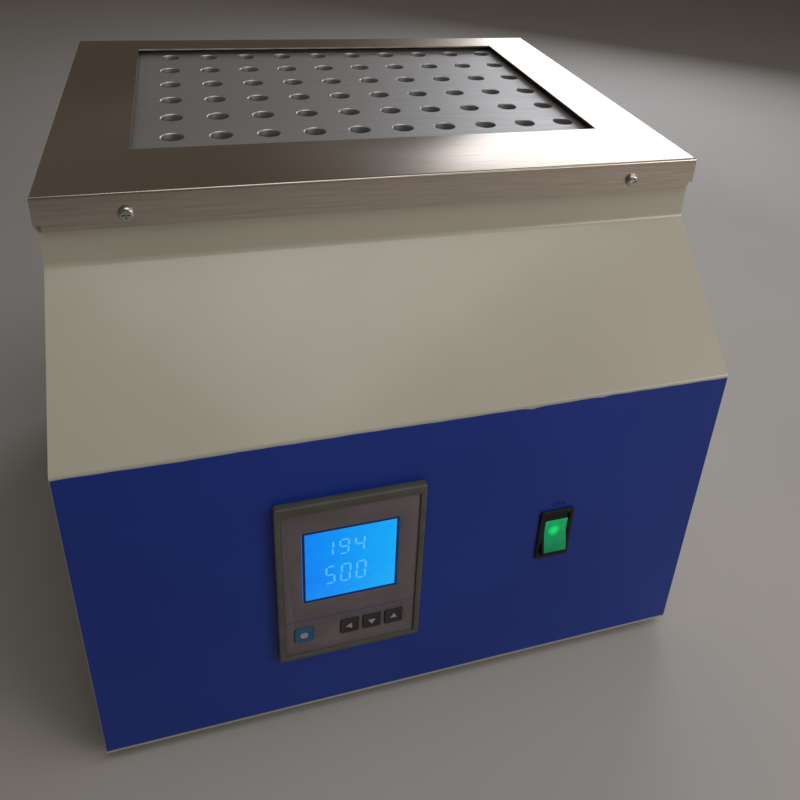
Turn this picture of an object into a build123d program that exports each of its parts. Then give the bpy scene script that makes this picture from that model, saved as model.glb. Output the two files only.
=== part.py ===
from build123d import *
from math import cos, radians, sin, tan
import os

# A bench block digester: a folded steel case with a sloped front, a stainless top cover
# around an aluminium block with sixty wells, and a temperature controller below.
# Millimetres. X runs to the right, Y to the back, Z up. The origin is under the middle of
# the whole instrument, on the surface that its feet stand on.

# Case
blockSideRoom = 34.75  # half of what the case is wider than the block
blockSetback = 151.8  # case front to the block
blockRearRoom = 11.2
frontHeight = 244.0  # vertical front wall, from the case's lower edge to its fold
slopeSetback = 91.0  # how far the slope carries the neck back
slopeRise = 79.0
neckHeight = 45.5  # neck's fold to the top of the cover
sheet = 1.5
foldRadius = 2.5
neckRadius = 6.0
flangeWidth = 15.0
shelfFold = 18.0  # folds of the front and rear sheets that the cover rests on
seam = 0.2  # clearance between sheets that meet edge to face
filmThickness = 0.4
filmMargin = 0.5
footHeight = 10.0

# Top cover
coverSheet = 1.2
coverSeat = 0.2
skirtDepth = 22.0
coverFoldRadius = 1.8
coverSideGap = 0.3
coverFrontGap = 1.8
coverRearGap = 1.3
cornerNotch = 4.0
windowLeftLap = 5.25  # how far the cover lies over the block on each side of its window
windowRightLap = 19.25
windowFrontLap = 3.0
windowRearLap = 18.0
windowCornerRadius = 1.0
coverScrewInset = 48.0  # case sides to the cover's screws
coverScrewDrop = 13.5  # below the cover's top face

# Heating block
wellColumns = 10
wellRows = 6
wellDiameter = 15.0
wellPitchX = 32.5
wellPitchY = 40.0
wellsX = 9.0
wellDepth = 62.0
blockEndMargin = 31.0  # outer well centres to the block's ends
blockFrontMargin = 37.0
blockRearMargin = 27.0
blockDrop = 4.4  # block's top face below the cover's sheet
blockChamfer = 0.8
heaterThickness = 14.0
heaterInset = 5.0
boltRadius = 3.0
boltHeadRadius = 5.5
boltHeadHeight = 4.0
boltGrip = 12.0
boltClearance = 0.2
boltEndGap = 1.0

# Insulation and its tray
boardThickness = 20.0
rearBoardThickness = 6.0
boardGap = 0.3
boardDrop = 6.0  # top edge of the boards below the block's top face
trayFront = 100.0  # case front to the tray's front edge
trayFlange = 18.0
standoffRadius = 8.0
cutoutSquare = 22.0
cutoutRadius = 8.0
cutoutFlange = 1.5
cutoutBody = 9.0
cutoutTab = 7.0
cutoutX = 64.6
cutoutTabThickness = 0.8
cutoutTabWidth = 4.0
terminalX = 48.0
terminalSetback = 26.0
terminalRadius = 5.0
terminalStud = 2.0
terminalLength = 34.0
terminalHole = 14.0

# Temperature probe
probeRadius = 2.5
probeFit = 0.1
probeDepth = 60.0
probeTail = 10.0
probeEndGap = 1.0
probeNutRadius = 6.0
probeNutLength = 8.0

# Controller
bezelWidth = 96.0
bezelHeight = 139.0
bezelProud = 6.0
bezelRadius = 2.0
bezelEdge = 1.0
faceWidth = 88.0
faceHeight = 128.6
faceDrop = 1.2  # face plate's centre below the bezel's
faceRecess = 1.0
faceThickness = 2.0
faceFit = 0.15
controllerX = -49.0
controllerZ = 128.0
controllerCaseWidth = 91.0
controllerCaseHeight = 133.5
controllerCaseDepth = 76.0
panelFit = 0.5  # cut-outs in the front sheet around what passes through
lcdWidth = 62.4
lcdHeight = 62.8
lcdX = -0.2
lcdZ = 14.6
lcdRecess = 0.5
keySize = 12.2
keyRowZ = -46.4
setKeyX = -31.3
arrowKeyX = -0.7
arrowKeyPitch = 15.1
keyProud = 0.9
keyFit = 0.2
keyLip = 0.9
keyLipThickness = 1.2
keyRadius = 0.8
clampLength = 46.0
clampWidth = 12.0
clampThickness = 4.0
clampToe = 9.0

# Power switch
switchX = 97.0
switchZ = 125.4
switchWidth = 25.5
switchHeight = 45.0
switchProud = 2.2
switchRadius = 2.0
switchBodyWidth = 22.0
switchBodyHeight = 41.0
switchBodyDepth = 26.0
rockerWidth = 19.0
rockerRadius = 18.6
rockerFit = 0.3
rockerPivotDepth = 5.0  # pivot behind the front sheet's outer face
rockerSwing = 16.0
rockerBrow = 0.8  # middle of the rocker's face in front of the sheet
rockerKeel = 6.0
rockerWell = 15.0
pinRadius = 1.5
pinFit = 0.05
pinLength = 1.0

# Rear panel fittings
inletInset = 82.0  # case side to the inlet's middle
inletZ = 48.0
inletFlangeWidth = 50.0
inletFlangeHeight = 25.0
inletFlangeProud = 3.0
inletFlangeCorner = 3.0
inletBodyWidth = 28.0
inletBodyHeight = 21.0
inletBodyDepth = 25.0
inletRecessWidth = 24.6
inletRecessHeight = 17.0
inletRecessDepth = 20.0
inletRecessCorner = 4.0
inletScrewSpacing = 40.0
inletPinSpacing = 14.0
inletPinRise = 4.0
inletPinWidth = 2.0
inletPinHeight = 4.0
inletPinLength = 16.0
tabThickness = 0.8  # blade terminals on the back of inlet, fuse holder and switch
tabWidth = 6.3
tabLength = 9.0
fuseInset = 130.0
fuseZ = 48.0
fuseBodyRadius = 6.0
fuseFlangeRadius = 8.5
fuseFlangeProud = 3.0
fuseBodyLength = 34.0
fuseCapRadius = 6.8
fuseCapProud = 11.0
fuseCapStem = 4.2
fuseCapStemLength = 14.0
fuseCapFit = 0.08
fuseCapGap = 0.2
fuseCapEdge = 0.8
fuseSlotWidth = 1.6
fuseSlotDepth = 1.5
ventCount = 9
ventPitch = 9.0
ventWidth = 4.0
ventLength = 70.0
ventInset = 117.0
ventZ = 70.0
rearScrewInset = 7.5
rearScrewEnds = 24.0

# Base and what stands on it
panFlange = 20.0
footInset = 32.0
footRadius = 13.0
footTaper = 6.0
footBore = 5.5
footBoreDepth = 6.0
panVentCount = 8
panVentPitch = 12.0
panVentWidth = 5.0
panVentLength = 60.0
panVentSetback = 170.0
sinkInset = 92.0
sinkSetback = 250.0
sinkLength = 90.0
sinkWidth = 78.0
sinkBase = 6.0
sinkFinHeight = 22.0
sinkFin = 2.4
sinkFins = 8
sinkFoot = 9.0  # feet that stick out at both sides of the heatsink
relayWidth = 45.0
relayLength = 58.0
relayHeight = 23.0
relayNotch = 10.0
relayLedge = 10.0
relayScrewSpacing = 47.6
terminalsInset = 172.0
terminalsSetback = 330.0
terminalsWidth = 84.0
terminalsDepth = 24.0
terminalsBase = 8.0
terminalsWall = 2.0
terminalsRise = 14.0
terminalsWays = 6
earthInset = 52.0
earthSetback = 350.0
earthRadius = 3.0
earthHeight = 22.0
earthNutRadius = 5.5
earthNutHeight = 4.0
earthHeadHeight = 3.0

# Screws
coverScrewHead = 4.6
coverScrewHeadHeight = 3.0
coverScrewShank = 2.2
coverScrewLength = 6.5
smallScrewHead = 3.4
smallScrewHeadHeight = 2.0
smallScrewShank = 1.6
smallScrewLength = 8.0
footScrewLength = 9.0
sideScrewHeadHeight = 1.4
sideScrewLength = 6.0
sideScrewEnds = 40.0
screwFit = 0.15
headTaper = 14.0

# Sizes and places worked out from the values above
blockLength = wellPitchX * (wellColumns - 1) + 2 * blockEndMargin
blockWidth = wellPitchY * (wellRows - 1) + blockFrontMargin + blockRearMargin
caseWidth = blockLength + 2 * blockSideRoom
caseDepth = blockSetback + blockWidth + blockRearRoom
caseHeight = frontHeight + slopeRise + neckHeight
windowWidth = blockLength - windowLeftLap - windowRightLap
windowDepth = blockWidth - windowFrontLap - windowRearLap
frontY = (bezelProud - caseDepth - fuseCapProud) / 2
rearY = frontY + caseDepth
floorZ = footHeight
foldZ = floorZ + frontHeight
neckY = frontY + slopeSetback
neckZ = foldZ + slopeRise
coverZ = floorZ + caseHeight
shelfZ = coverZ - coverSheet - coverSeat
halfWidth = caseWidth / 2
innerX = halfWidth - sheet - seam
rearInside = rearY - sheet - seam
skirtZ = coverZ - skirtDepth
coverHalf = halfWidth + coverSideGap + coverSheet
coverFront = neckY - coverFrontGap - coverSheet
coverRear = rearY + coverRearGap + coverSheet
screwZ = coverZ - coverScrewDrop
windowX = wellsX + (windowLeftLap - windowRightLap) / 2
windowY = frontY + blockSetback + windowFrontLap + windowDepth / 2
wellsY = frontY + blockSetback + blockFrontMargin + wellPitchY * (wellRows - 1) / 2
coverScrewX = halfWidth - coverScrewInset
inletX = halfWidth - inletInset
fuseX = halfWidth - fuseInset
ventX = ventInset - halfWidth
sinkX = halfWidth - sinkInset
terminalsX = halfWidth - terminalsInset
earthX = halfWidth - earthInset
blockTop = coverZ - coverSheet - blockDrop
blockBase = blockTop - wellDepth
blockFront = frontY + blockSetback
blockRear = blockFront + blockWidth
blockY = (blockFront + blockRear) / 2
heaterBase = blockBase - heaterThickness
boardBase = heaterBase - boardThickness
boardTop = blockTop - boardDrop
boardsX = blockLength / 2 + boardGap + boardThickness
boardsFront = blockFront - boardGap - boardThickness
boardsRear = blockRear + boardGap + rearBoardThickness
trayTop = boardBase
probeZ = blockTop - wellDepth / 2
boltSpanX = wellPitchX * (wellColumns - 2)
boltSpanY = wellPitchY * (wellRows - 2)
terminalY = blockFront + terminalSetback
controllerMid = floorZ + controllerZ
faceMid = controllerMid - faceDrop
switchMid = floorZ + switchZ
inletMid = floorZ + inletZ
fuseMid = floorZ + fuseZ
panTop = floorZ + sheet
sinkY = frontY + sinkSetback
sinkTop = panTop + sinkFinHeight + sinkBase
wayPitch = (terminalsWidth - terminalsWall) / terminalsWays
terminalsY = frontY + terminalsSetback
earthY = frontY + earthSetback
pivotY = frontY + rockerPivotDepth
wellHalf = rockerRadius + rockerFit
trayRear = rearInside - sheet - seam
trayScrewZ = trayTop - trayFlange / 2
trayScrewYs = (frontY + trayFront + sideScrewEnds, trayRear - sideScrewEnds)
panScrewZ = floorZ + panFlange / 2
panScrewYs = (frontY + sideScrewEnds, rearY - sideScrewEnds)
footX = halfWidth - footInset
footFront = frontY + footInset
footRear = rearY - footInset
os.makedirs("parts", exist_ok=True)


def facing_front(y):
    """A plane across the instrument at y, seen from the front, with its normal to the front."""
    return Plane(origin=(0, y, 0), x_dir=(1, 0, 0), z_dir=(0, -1, 0))


def facing_rear(y):
    """A plane across the instrument at y, with its normal to the back and X turned round."""
    return Plane(origin=(0, y, 0), x_dir=(-1, 0, 0), z_dir=(0, 1, 0))


def screw(plane, at, head, headHeight, shank, length):
    """A tapered head outside the plane and a plain six-sided shank behind it."""
    with BuildSketch(plane) as headOutline:
        with Locations(at):
            RegularPolygon(head, 12)
    extrude(headOutline.sketch, amount=headHeight, taper=headTaper)
    with BuildSketch(plane) as shankOutline:
        with Locations(at):
            RegularPolygon(shank, 6)
    extrude(shankOutline.sketch, amount=-length)


def side_holes(x, z, ys):
    """Holes for the side screws, drilled from just outside x through one sheet on both sides."""
    for side in (-1, 1):
        wall = Plane(origin=(side * x, 0, 0), x_dir=(0, 1, 0), z_dir=(side, 0, 0))
        with BuildSketch(wall) as holes:
            with Locations([(y, side * z) for y in ys]):
                RegularPolygon(smallScrewShank + screwFit, 6)
        extrude(holes.sketch, amount=sheet, both=True, mode=Mode.SUBTRACT)


def finish(piece, name):
    piece.part.label = name
    export_step(piece.part, "parts/" + name + ".step")


def side_outline(inset):
    """The case seen from its side, drawn in from the folded front and the rear sheet."""
    edge = sheet + seam
    with BuildSketch() as outline:
        with BuildLine():
            Polyline(
                (frontY, floorZ - edge),
                (frontY, foldZ),
                (neckY, neckZ),
                (neckY, shelfZ + edge),
                (rearY, shelfZ + edge),
                (rearY, floorZ - edge),
                close=True,
            )
        make_face()
        offset(amount=-(edge + inset), kind=Kind.INTERSECTION, mode=Mode.REPLACE)
        bend = outline.vertices().sort_by_distance((neckY, neckZ))[0]
        fillet(bend, neckRadius + edge + inset)
    return outline.sketch


# Folded front sheet: vertical wall, slope, neck and the shelf fold under the cover
with BuildPart() as front_fascia:
    with BuildSketch(Plane.YZ.offset(-halfWidth)):
        with BuildLine():
            FilletPolyline(
                (frontY, floorZ),
                (frontY, foldZ),
                (neckY, neckZ),
                (neckY, shelfZ),
                (neckY + shelfFold, shelfZ),
                radius=[foldRadius, neckRadius, foldRadius],
            )
            offset(amount=sheet, side=Side.RIGHT)
        make_face()
    extrude(amount=caseWidth)
    # the shelf fold stops short of the side sheets' flanges
    with BuildSketch(Plane.XY.offset(shelfZ - foldRadius)):
        for side in (-1, 1):
            with Locations((side * halfWidth, neckY + sheet + seam / 2)):
                Rectangle(2 * (flangeWidth + sheet), 2 * shelfFold, align=(Align.CENTER, Align.MIN))
    extrude(amount=foldRadius, mode=Mode.SUBTRACT)
    with BuildSketch(facing_front(frontY)):
        with Locations((controllerX, controllerMid)):
            Rectangle(controllerCaseWidth + 2 * panelFit, controllerCaseHeight + 2 * panelFit)
        with Locations((switchX, switchMid)):
            Rectangle(switchBodyWidth + 2 * panelFit, switchBodyHeight + 2 * panelFit)
    extrude(amount=-2 * sheet, mode=Mode.SUBTRACT)
    with BuildSketch(facing_front(neckY)):
        with Locations((-coverScrewX, screwZ), (coverScrewX, screwZ)):
            RegularPolygon(coverScrewShank + screwFit, 6)
    extrude(amount=-2 * sheet, mode=Mode.SUBTRACT)
finish(front_fascia, "front_fascia")

# Coloured film over the vertical wall
with BuildPart() as front_film:
    with BuildSketch(facing_front(frontY)):
        with Locations((0, floorZ + foldRadius)):
            Rectangle(
                caseWidth - 2 * filmMargin,
                frontHeight - 2 * foldRadius,
                align=(Align.CENTER, Align.MIN),
            )
        with Locations((controllerX, controllerMid)):
            Rectangle(
                controllerCaseWidth + 2 * panelFit,
                controllerCaseHeight + 2 * panelFit,
                mode=Mode.SUBTRACT,
            )
        with Locations((switchX, switchMid)):
            Rectangle(
                switchBodyWidth + 2 * panelFit,
                switchBodyHeight + 2 * panelFit,
                mode=Mode.SUBTRACT,
            )
    extrude(amount=filmThickness)
finish(front_film, "front_film")

# Side sheets, each with a flange all round but along the bottom
with BuildPart() as side_panel_right:
    with BuildSketch(Plane.YZ.offset(halfWidth - sheet)):
        add(side_outline(0))
    extrude(amount=sheet)
    with BuildSketch(Plane.YZ.offset(halfWidth - sheet)):
        add(side_outline(0))
        add(side_outline(sheet), mode=Mode.SUBTRACT)
        with Locations((neckY, floorZ)):
            Rectangle(
                2 * (caseDepth - slopeSetback - 2 * sheet - seam),
                2 * sheet,
                align=(Align.CENTER, Align.CENTER),
                mode=Mode.SUBTRACT,
            )
    extrude(amount=-(flangeWidth - sheet))
    with BuildSketch(facing_rear(rearY)):
        for z in (floorZ + rearScrewEnds, (floorZ + shelfZ) / 2, shelfZ - rearScrewEnds):
            with Locations((-(halfWidth - rearScrewInset), z)):
                RegularPolygon(smallScrewShank + screwFit, 6)
    extrude(amount=-(3 * sheet), mode=Mode.SUBTRACT)
    side_holes(halfWidth, trayScrewZ, trayScrewYs)
    side_holes(halfWidth, panScrewZ, panScrewYs)
finish(side_panel_right, "side_panel_right")

with BuildPart() as side_panel_left:
    mirror(side_panel_right.part, about=Plane.YZ)
finish(side_panel_left, "side_panel_left")

# Rear sheet with its shelf fold, vents and openings
with BuildPart() as rear_panel:
    with BuildSketch(Plane.YZ.offset(-halfWidth)):
        with BuildLine():
            FilletPolyline(
                (rearY, floorZ),
                (rearY, shelfZ),
                (rearY - shelfFold, shelfZ),
                radius=foldRadius,
            )
            offset(amount=sheet, side=Side.LEFT)
        make_face()
    extrude(amount=caseWidth)
    with BuildSketch(Plane.XY.offset(shelfZ - foldRadius)):
        for side in (-1, 1):
            with Locations((side * halfWidth, rearY - sheet - seam / 2)):
                Rectangle(2 * (flangeWidth + sheet), 2 * shelfFold, align=(Align.CENTER, Align.MAX))
    extrude(amount=foldRadius, mode=Mode.SUBTRACT)
    with BuildSketch(facing_rear(rearY)):
        with Locations((-inletX, inletMid)):
            Rectangle(inletBodyWidth + 2 * panelFit, inletBodyHeight + 2 * panelFit)
            with GridLocations(inletScrewSpacing, 1, 2, 1):
                RegularPolygon(smallScrewShank + screwFit, 6)
        with Locations((-fuseX, fuseMid)):
            RegularPolygon(fuseBodyRadius + panelFit, 12)
        with Locations((-ventX, floorZ + ventZ)):
            with GridLocations(1, ventPitch, 1, ventCount):
                Rectangle(ventLength, ventWidth)
        for z in (floorZ + rearScrewEnds, (floorZ + shelfZ) / 2, shelfZ - rearScrewEnds):
            with Locations((-(halfWidth - rearScrewInset), z), (halfWidth - rearScrewInset, z)):
                RegularPolygon(smallScrewShank + screwFit, 6)
        with Locations((-coverScrewX, screwZ), (coverScrewX, screwZ)):
            RegularPolygon(coverScrewShank + screwFit, 6)
    extrude(amount=-2 * sheet, mode=Mode.SUBTRACT)
finish(rear_panel, "rear_panel")

with BuildPart() as rear_screws:
    for z in (floorZ + rearScrewEnds, (floorZ + shelfZ) / 2, shelfZ - rearScrewEnds):
        for x in (-(halfWidth - rearScrewInset), halfWidth - rearScrewInset):
            screw(
                facing_rear(rearY),
                (x, z),
                smallScrewHead,
                smallScrewHeadHeight,
                smallScrewShank,
                smallScrewLength,
            )
finish(rear_screws, "rear_screws")

# Base pan between the side sheets, notched at its corners for their flanges
with BuildPart() as base_pan:
    panDepth = rearInside - (frontY + sheet + seam)
    panY = (rearInside + frontY + sheet + seam) / 2
    with BuildSketch(Plane.XY.offset(floorZ)):
        with Locations((0, panY)):
            Rectangle(2 * innerX, panDepth)
    extrude(amount=panFlange)
    offset(amount=-sheet, openings=base_pan.faces().sort_by(Axis.Z)[-1])
    with BuildSketch(Plane.XY.offset(floorZ)):
        for x in (-halfWidth, halfWidth):
            with Locations((x, frontY), (x, rearY)):
                Rectangle(2 * (flangeWidth + seam), 2 * (2 * sheet + 2 * seam))
        with Locations((0, frontY + panVentSetback)):
            with GridLocations(1, panVentPitch, 1, panVentCount):
                Rectangle(panVentLength, panVentWidth)
        with Locations((footX, footFront), (-footX, footFront), (footX, footRear), (-footX, footRear)):
            RegularPolygon(smallScrewShank + screwFit, 6)
        with Locations((sinkX, sinkY)):
            with GridLocations(sinkWidth + sinkFoot, sinkLength - 2 * sinkFoot, 2, 2):
                RegularPolygon(smallScrewShank + screwFit, 6)
        with Locations((terminalsX, terminalsY)):
            with GridLocations(wayPitch * (terminalsWays - 1), 1, 2, 1):
                RegularPolygon(smallScrewShank + screwFit, 6)
        with Locations((earthX, earthY)):
            RegularPolygon(earthRadius + screwFit, 12)
    extrude(amount=panFlange, mode=Mode.SUBTRACT)
    side_holes(innerX, panScrewZ, panScrewYs)
finish(base_pan, "base_pan")

# Feet and the screws that hold them to the pan
with BuildPart() as feet:
    for x in (-footX, footX):
        for y in (footFront, footRear):
            with BuildSketch(Plane.XY.offset(floorZ)) as foot:
                with Locations((x, y)):
                    Circle(footRadius)
            extrude(foot.sketch, amount=-footHeight, taper=footTaper)
            with BuildSketch() as bore:
                with Locations((x, y)):
                    RegularPolygon(footBore, 8)
            extrude(bore.sketch, amount=footBoreDepth, mode=Mode.SUBTRACT)
            with BuildSketch() as hole:
                with Locations((x, y)):
                    RegularPolygon(smallScrewShank + screwFit, 6)
            extrude(hole.sketch, amount=footHeight, mode=Mode.SUBTRACT)
finish(feet, "feet")

with BuildPart() as feet_screws:
    fromBelow = Plane(origin=(0, 0, footBoreDepth), x_dir=(1, 0, 0), z_dir=(0, 0, -1))
    for x in (-footX, footX):
        for y in (-footFront, -footRear):
            screw(
                fromBelow,
                (x, y),
                smallScrewHead,
                smallScrewHeadHeight,
                smallScrewShank,
                footScrewLength,
            )
finish(feet_screws, "feet_screws")

# Top cover: a folded tray with its skirts down and a window over the block
with BuildPart() as top_cover:
    with BuildSketch(Plane.XY.offset(skirtZ)):
        with Locations((0, (coverFront + coverRear) / 2)):
            Rectangle(2 * coverHalf, coverRear - coverFront)
    extrude(amount=skirtDepth)
    fillet(top_cover.faces().sort_by(Axis.Z)[-1].edges(), coverFoldRadius)
    offset(amount=-coverSheet, openings=top_cover.faces().sort_by(Axis.Z)[0])
    with BuildSketch(Plane.XY.offset(coverZ)):
        with Locations((windowX, windowY)):
            RectangleRounded(windowWidth, windowDepth, windowCornerRadius)
    extrude(amount=-2 * coverSheet, mode=Mode.SUBTRACT)
    # the lower corners are cut away where the skirts meet
    with BuildSketch(Plane.XY.offset(skirtZ)):
        for x in (-coverHalf, coverHalf):
            with Locations((x, coverFront), (x, coverRear)):
                Rectangle(2 * cornerNotch, 2 * cornerNotch)
    extrude(amount=cornerNotch, mode=Mode.SUBTRACT)
    with BuildSketch(facing_front(coverFront)):
        with Locations((-coverScrewX, screwZ), (coverScrewX, screwZ)):
            RegularPolygon(coverScrewShank + screwFit, 6)
    extrude(amount=-(coverRear - coverFront), mode=Mode.SUBTRACT)
finish(top_cover, "top_cover")

with BuildPart() as cover_screws:
    for x in (-coverScrewX, coverScrewX):
        for plane in (facing_front(coverFront), facing_rear(coverRear)):
            screw(
                plane,
                (x, screwZ),
                coverScrewHead,
                coverScrewHeadHeight,
                coverScrewShank,
                coverScrewLength,
            )
finish(cover_screws, "cover_screws")

# Heating block, bored right through: the heater plate under it closes its wells
with BuildPart() as heating_block:
    with BuildSketch(Plane.XY.offset(blockBase)):
        with Locations((wellsX, blockY)):
            Rectangle(blockLength, blockWidth)
    extrude(amount=wellDepth)
    chamfer(heating_block.faces().sort_by(Axis.Z)[-1].edges(), blockChamfer)
    with Locations((wellsX, wellsY, blockTop)):
        with GridLocations(wellPitchX, wellPitchY, wellColumns, wellRows):
            Hole(wellDiameter / 2)
    with BuildSketch(Plane.XY.offset(blockBase)):
        with Locations((wellsX, wellsY)):
            with GridLocations(boltSpanX, boltSpanY, 2, 2):
                RegularPolygon(boltRadius + boltClearance, 6)
    extrude(amount=boltGrip + boltEndGap, mode=Mode.SUBTRACT)
    with BuildSketch(facing_front(blockFront)):
        with Locations((wellsX, probeZ)):
            RegularPolygon(probeRadius + probeFit, 12)
    extrude(amount=-probeDepth, mode=Mode.SUBTRACT)
finish(heating_block, "heating_block")

with BuildPart() as heater_plate:
    with BuildSketch(Plane.XY.offset(heaterBase)):
        with Locations((wellsX, blockY)):
            RectangleRounded(blockLength - 2 * heaterInset, blockWidth - 2 * heaterInset, boltHeadRadius)
        with Locations((wellsX, wellsY)):
            with GridLocations(boltSpanX, boltSpanY, 2, 2):
                RegularPolygon(boltRadius + boltClearance, 6, mode=Mode.SUBTRACT)
    extrude(amount=heaterThickness)
finish(heater_plate, "heater_plate")

# Ceramic terminal posts of the heater, reaching down through boards and tray
with BuildPart() as heater_terminals:
    for x in (wellsX - terminalX, wellsX + terminalX):
        with BuildSketch(Plane.XY.offset(heaterBase)) as post:
            with Locations((x, terminalY)):
                RegularPolygon(terminalRadius, 12)
        extrude(post.sketch, amount=-(boardThickness + sheet))
        with BuildSketch(Plane.XY.offset(heaterBase)) as stud:
            with Locations((x, terminalY)):
                RegularPolygon(terminalStud, 8)
        extrude(stud.sketch, amount=-terminalLength)
finish(heater_terminals, "heater_terminals")

with BuildPart() as thermal_cutout:
    with BuildSketch(Plane.XY.offset(heaterBase)):
        with Locations((wellsX + cutoutX, wellsY)):
            RegularPolygon(cutoutRadius, 16)
    extrude(amount=-cutoutFlange)
    with BuildSketch(Plane.XY.offset(heaterBase - cutoutFlange)):
        with Locations((wellsX + cutoutX, wellsY)):
            RegularPolygon(cutoutRadius * 0.8, 16)
    extrude(amount=-cutoutBody)
    with BuildSketch(Plane.XY.offset(heaterBase - cutoutFlange - cutoutBody)):
        with Locations((wellsX + cutoutX, wellsY)):
            with GridLocations(cutoutRadius * 0.8, 1, 2, 1):
                Rectangle(cutoutTabThickness, cutoutTabWidth)
    extrude(amount=-cutoutTab)
finish(thermal_cutout, "thermal_cutout")

# Insulation boards round and under the block
with BuildPart() as insulation_bottom:
    with BuildSketch(Plane.XY.offset(boardBase)):
        with Locations((wellsX, (boardsFront + boardsRear) / 2)):
            Rectangle(2 * boardsX, boardsRear - boardsFront)
        with Locations((wellsX, wellsY)):
            with GridLocations(boltSpanX, boltSpanY, 2, 2):
                RegularPolygon(standoffRadius + boardGap, 6, mode=Mode.SUBTRACT)
        with Locations((wellsX + cutoutX, wellsY)):
            Rectangle(cutoutSquare, cutoutSquare, mode=Mode.SUBTRACT)
        with Locations((wellsX - terminalX, terminalY), (wellsX + terminalX, terminalY)):
            Rectangle(terminalHole, terminalHole, mode=Mode.SUBTRACT)
    extrude(amount=boardThickness)
finish(insulation_bottom, "insulation_bottom")

with BuildPart() as insulation_front:
    with BuildSketch(Plane.XY.offset(heaterBase)):
        with Locations((wellsX, boardsFront)):
            Rectangle(2 * boardsX, boardThickness, align=(Align.CENTER, Align.MIN))
    extrude(amount=boardTop - heaterBase)
    with BuildSketch(facing_front(boardsFront)):
        with Locations((wellsX, probeZ)):
            RegularPolygon(probeRadius + boardGap, 8)
    extrude(amount=-boardThickness, mode=Mode.SUBTRACT)
finish(insulation_front, "insulation_front")

with BuildPart() as insulation_rear:
    with BuildSketch(Plane.XY.offset(heaterBase)):
        with Locations((wellsX, boardsRear)):
            Rectangle(blockLength, rearBoardThickness, align=(Align.CENTER, Align.MAX))
    extrude(amount=boardTop - heaterBase)
finish(insulation_rear, "insulation_rear")

with BuildPart() as insulation_left:
    with BuildSketch(Plane.XY.offset(heaterBase)):
        with Locations((wellsX - boardsX, boardsFront + boardThickness)):
            Rectangle(
                boardThickness,
                blockRear - boardsFront - boardThickness,
                align=(Align.MIN, Align.MIN),
            )
    extrude(amount=boardTop - heaterBase)
finish(insulation_left, "insulation_left")

with BuildPart() as insulation_right:
    mirror(insulation_left.part, about=Plane.YZ.offset(wellsX))
finish(insulation_right, "insulation_right")

# Tray across the case that carries the block, its ends folded down along the side sheets
with BuildPart() as support_tray:
    trayMid = (frontY + trayFront + trayRear) / 2
    trayDepth = trayRear - frontY - trayFront
    with BuildSketch(Plane.XZ.offset(-trayRear)):
        with BuildLine():
            FilletPolyline(
                (-innerX, trayTop - trayFlange),
                (-innerX, trayTop),
                (innerX, trayTop),
                (innerX, trayTop - trayFlange),
                radius=foldRadius,
            )
            offset(amount=sheet, side=Side.RIGHT)
        make_face()
    extrude(amount=trayDepth)
    with BuildSketch(Plane.XY.offset(trayTop)):
        with Locations((wellsX, wellsY)):
            with GridLocations(boltSpanX, boltSpanY, 2, 2):
                RegularPolygon(boltRadius + boltClearance, 6)
        with Locations((wellsX + cutoutX, wellsY)):
            Rectangle(cutoutSquare, cutoutSquare)
        with Locations((wellsX - terminalX, terminalY), (wellsX + terminalX, terminalY)):
            Rectangle(terminalHole, terminalHole)
    extrude(amount=-2 * sheet, mode=Mode.SUBTRACT)
    side_holes(innerX, trayScrewZ, trayScrewYs)
finish(support_tray, "support_tray")

with BuildPart() as block_standoffs:
    with BuildSketch(Plane.XY.offset(trayTop)):
        with Locations((wellsX, wellsY)):
            with GridLocations(boltSpanX, boltSpanY, 2, 2):
                RegularPolygon(standoffRadius, 6)
                RegularPolygon(boltRadius + boltClearance, 6, mode=Mode.SUBTRACT)
    extrude(amount=boardThickness)
finish(block_standoffs, "block_standoffs")

with BuildPart() as block_bolts:
    with BuildSketch(Plane.XY.offset(trayTop - sheet)) as boltHeads:
        with Locations((wellsX, wellsY)):
            with GridLocations(boltSpanX, boltSpanY, 2, 2):
                RegularPolygon(boltHeadRadius, 6)
    extrude(boltHeads.sketch, amount=-boltHeadHeight)
    with BuildSketch(Plane.XY.offset(trayTop - sheet)) as boltShanks:
        with Locations((wellsX, wellsY)):
            with GridLocations(boltSpanX, boltSpanY, 2, 2):
                RegularPolygon(boltRadius, 6)
    extrude(boltShanks.sketch, amount=sheet + boardThickness + heaterThickness + boltGrip)
finish(block_bolts, "block_bolts")

with BuildPart() as temperature_probe:
    with BuildSketch(facing_front(blockFront + probeDepth - probeEndGap)):
        with Locations((wellsX, probeZ)):
            RegularPolygon(probeRadius, 12)
    extrude(amount=probeDepth - probeEndGap + boardGap + boardThickness + probeTail)
    with BuildSketch(facing_front(boardsFront)):
        with Locations((wellsX, probeZ)):
            RegularPolygon(probeNutRadius, 6)
    extrude(amount=probeNutLength)
finish(temperature_probe, "temperature_probe")

# Controller: a bezel round a recessed face, with its case behind the front sheet
with BuildPart() as controller_bezel:
    with BuildSketch(facing_front(frontY - filmThickness)):
        with Locations((controllerX, controllerMid)):
            RectangleRounded(bezelWidth, bezelHeight, bezelRadius)
    extrude(amount=bezelProud - filmThickness)
    chamfer(controller_bezel.faces().sort_by(Axis.Y)[0].edges(), bezelEdge)
    with BuildSketch(facing_front(frontY)):
        with Locations((controllerX, faceMid)):
            Rectangle(faceWidth, faceHeight)
    extrude(amount=bezelProud, mode=Mode.SUBTRACT)
finish(controller_bezel, "controller_bezel")

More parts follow.
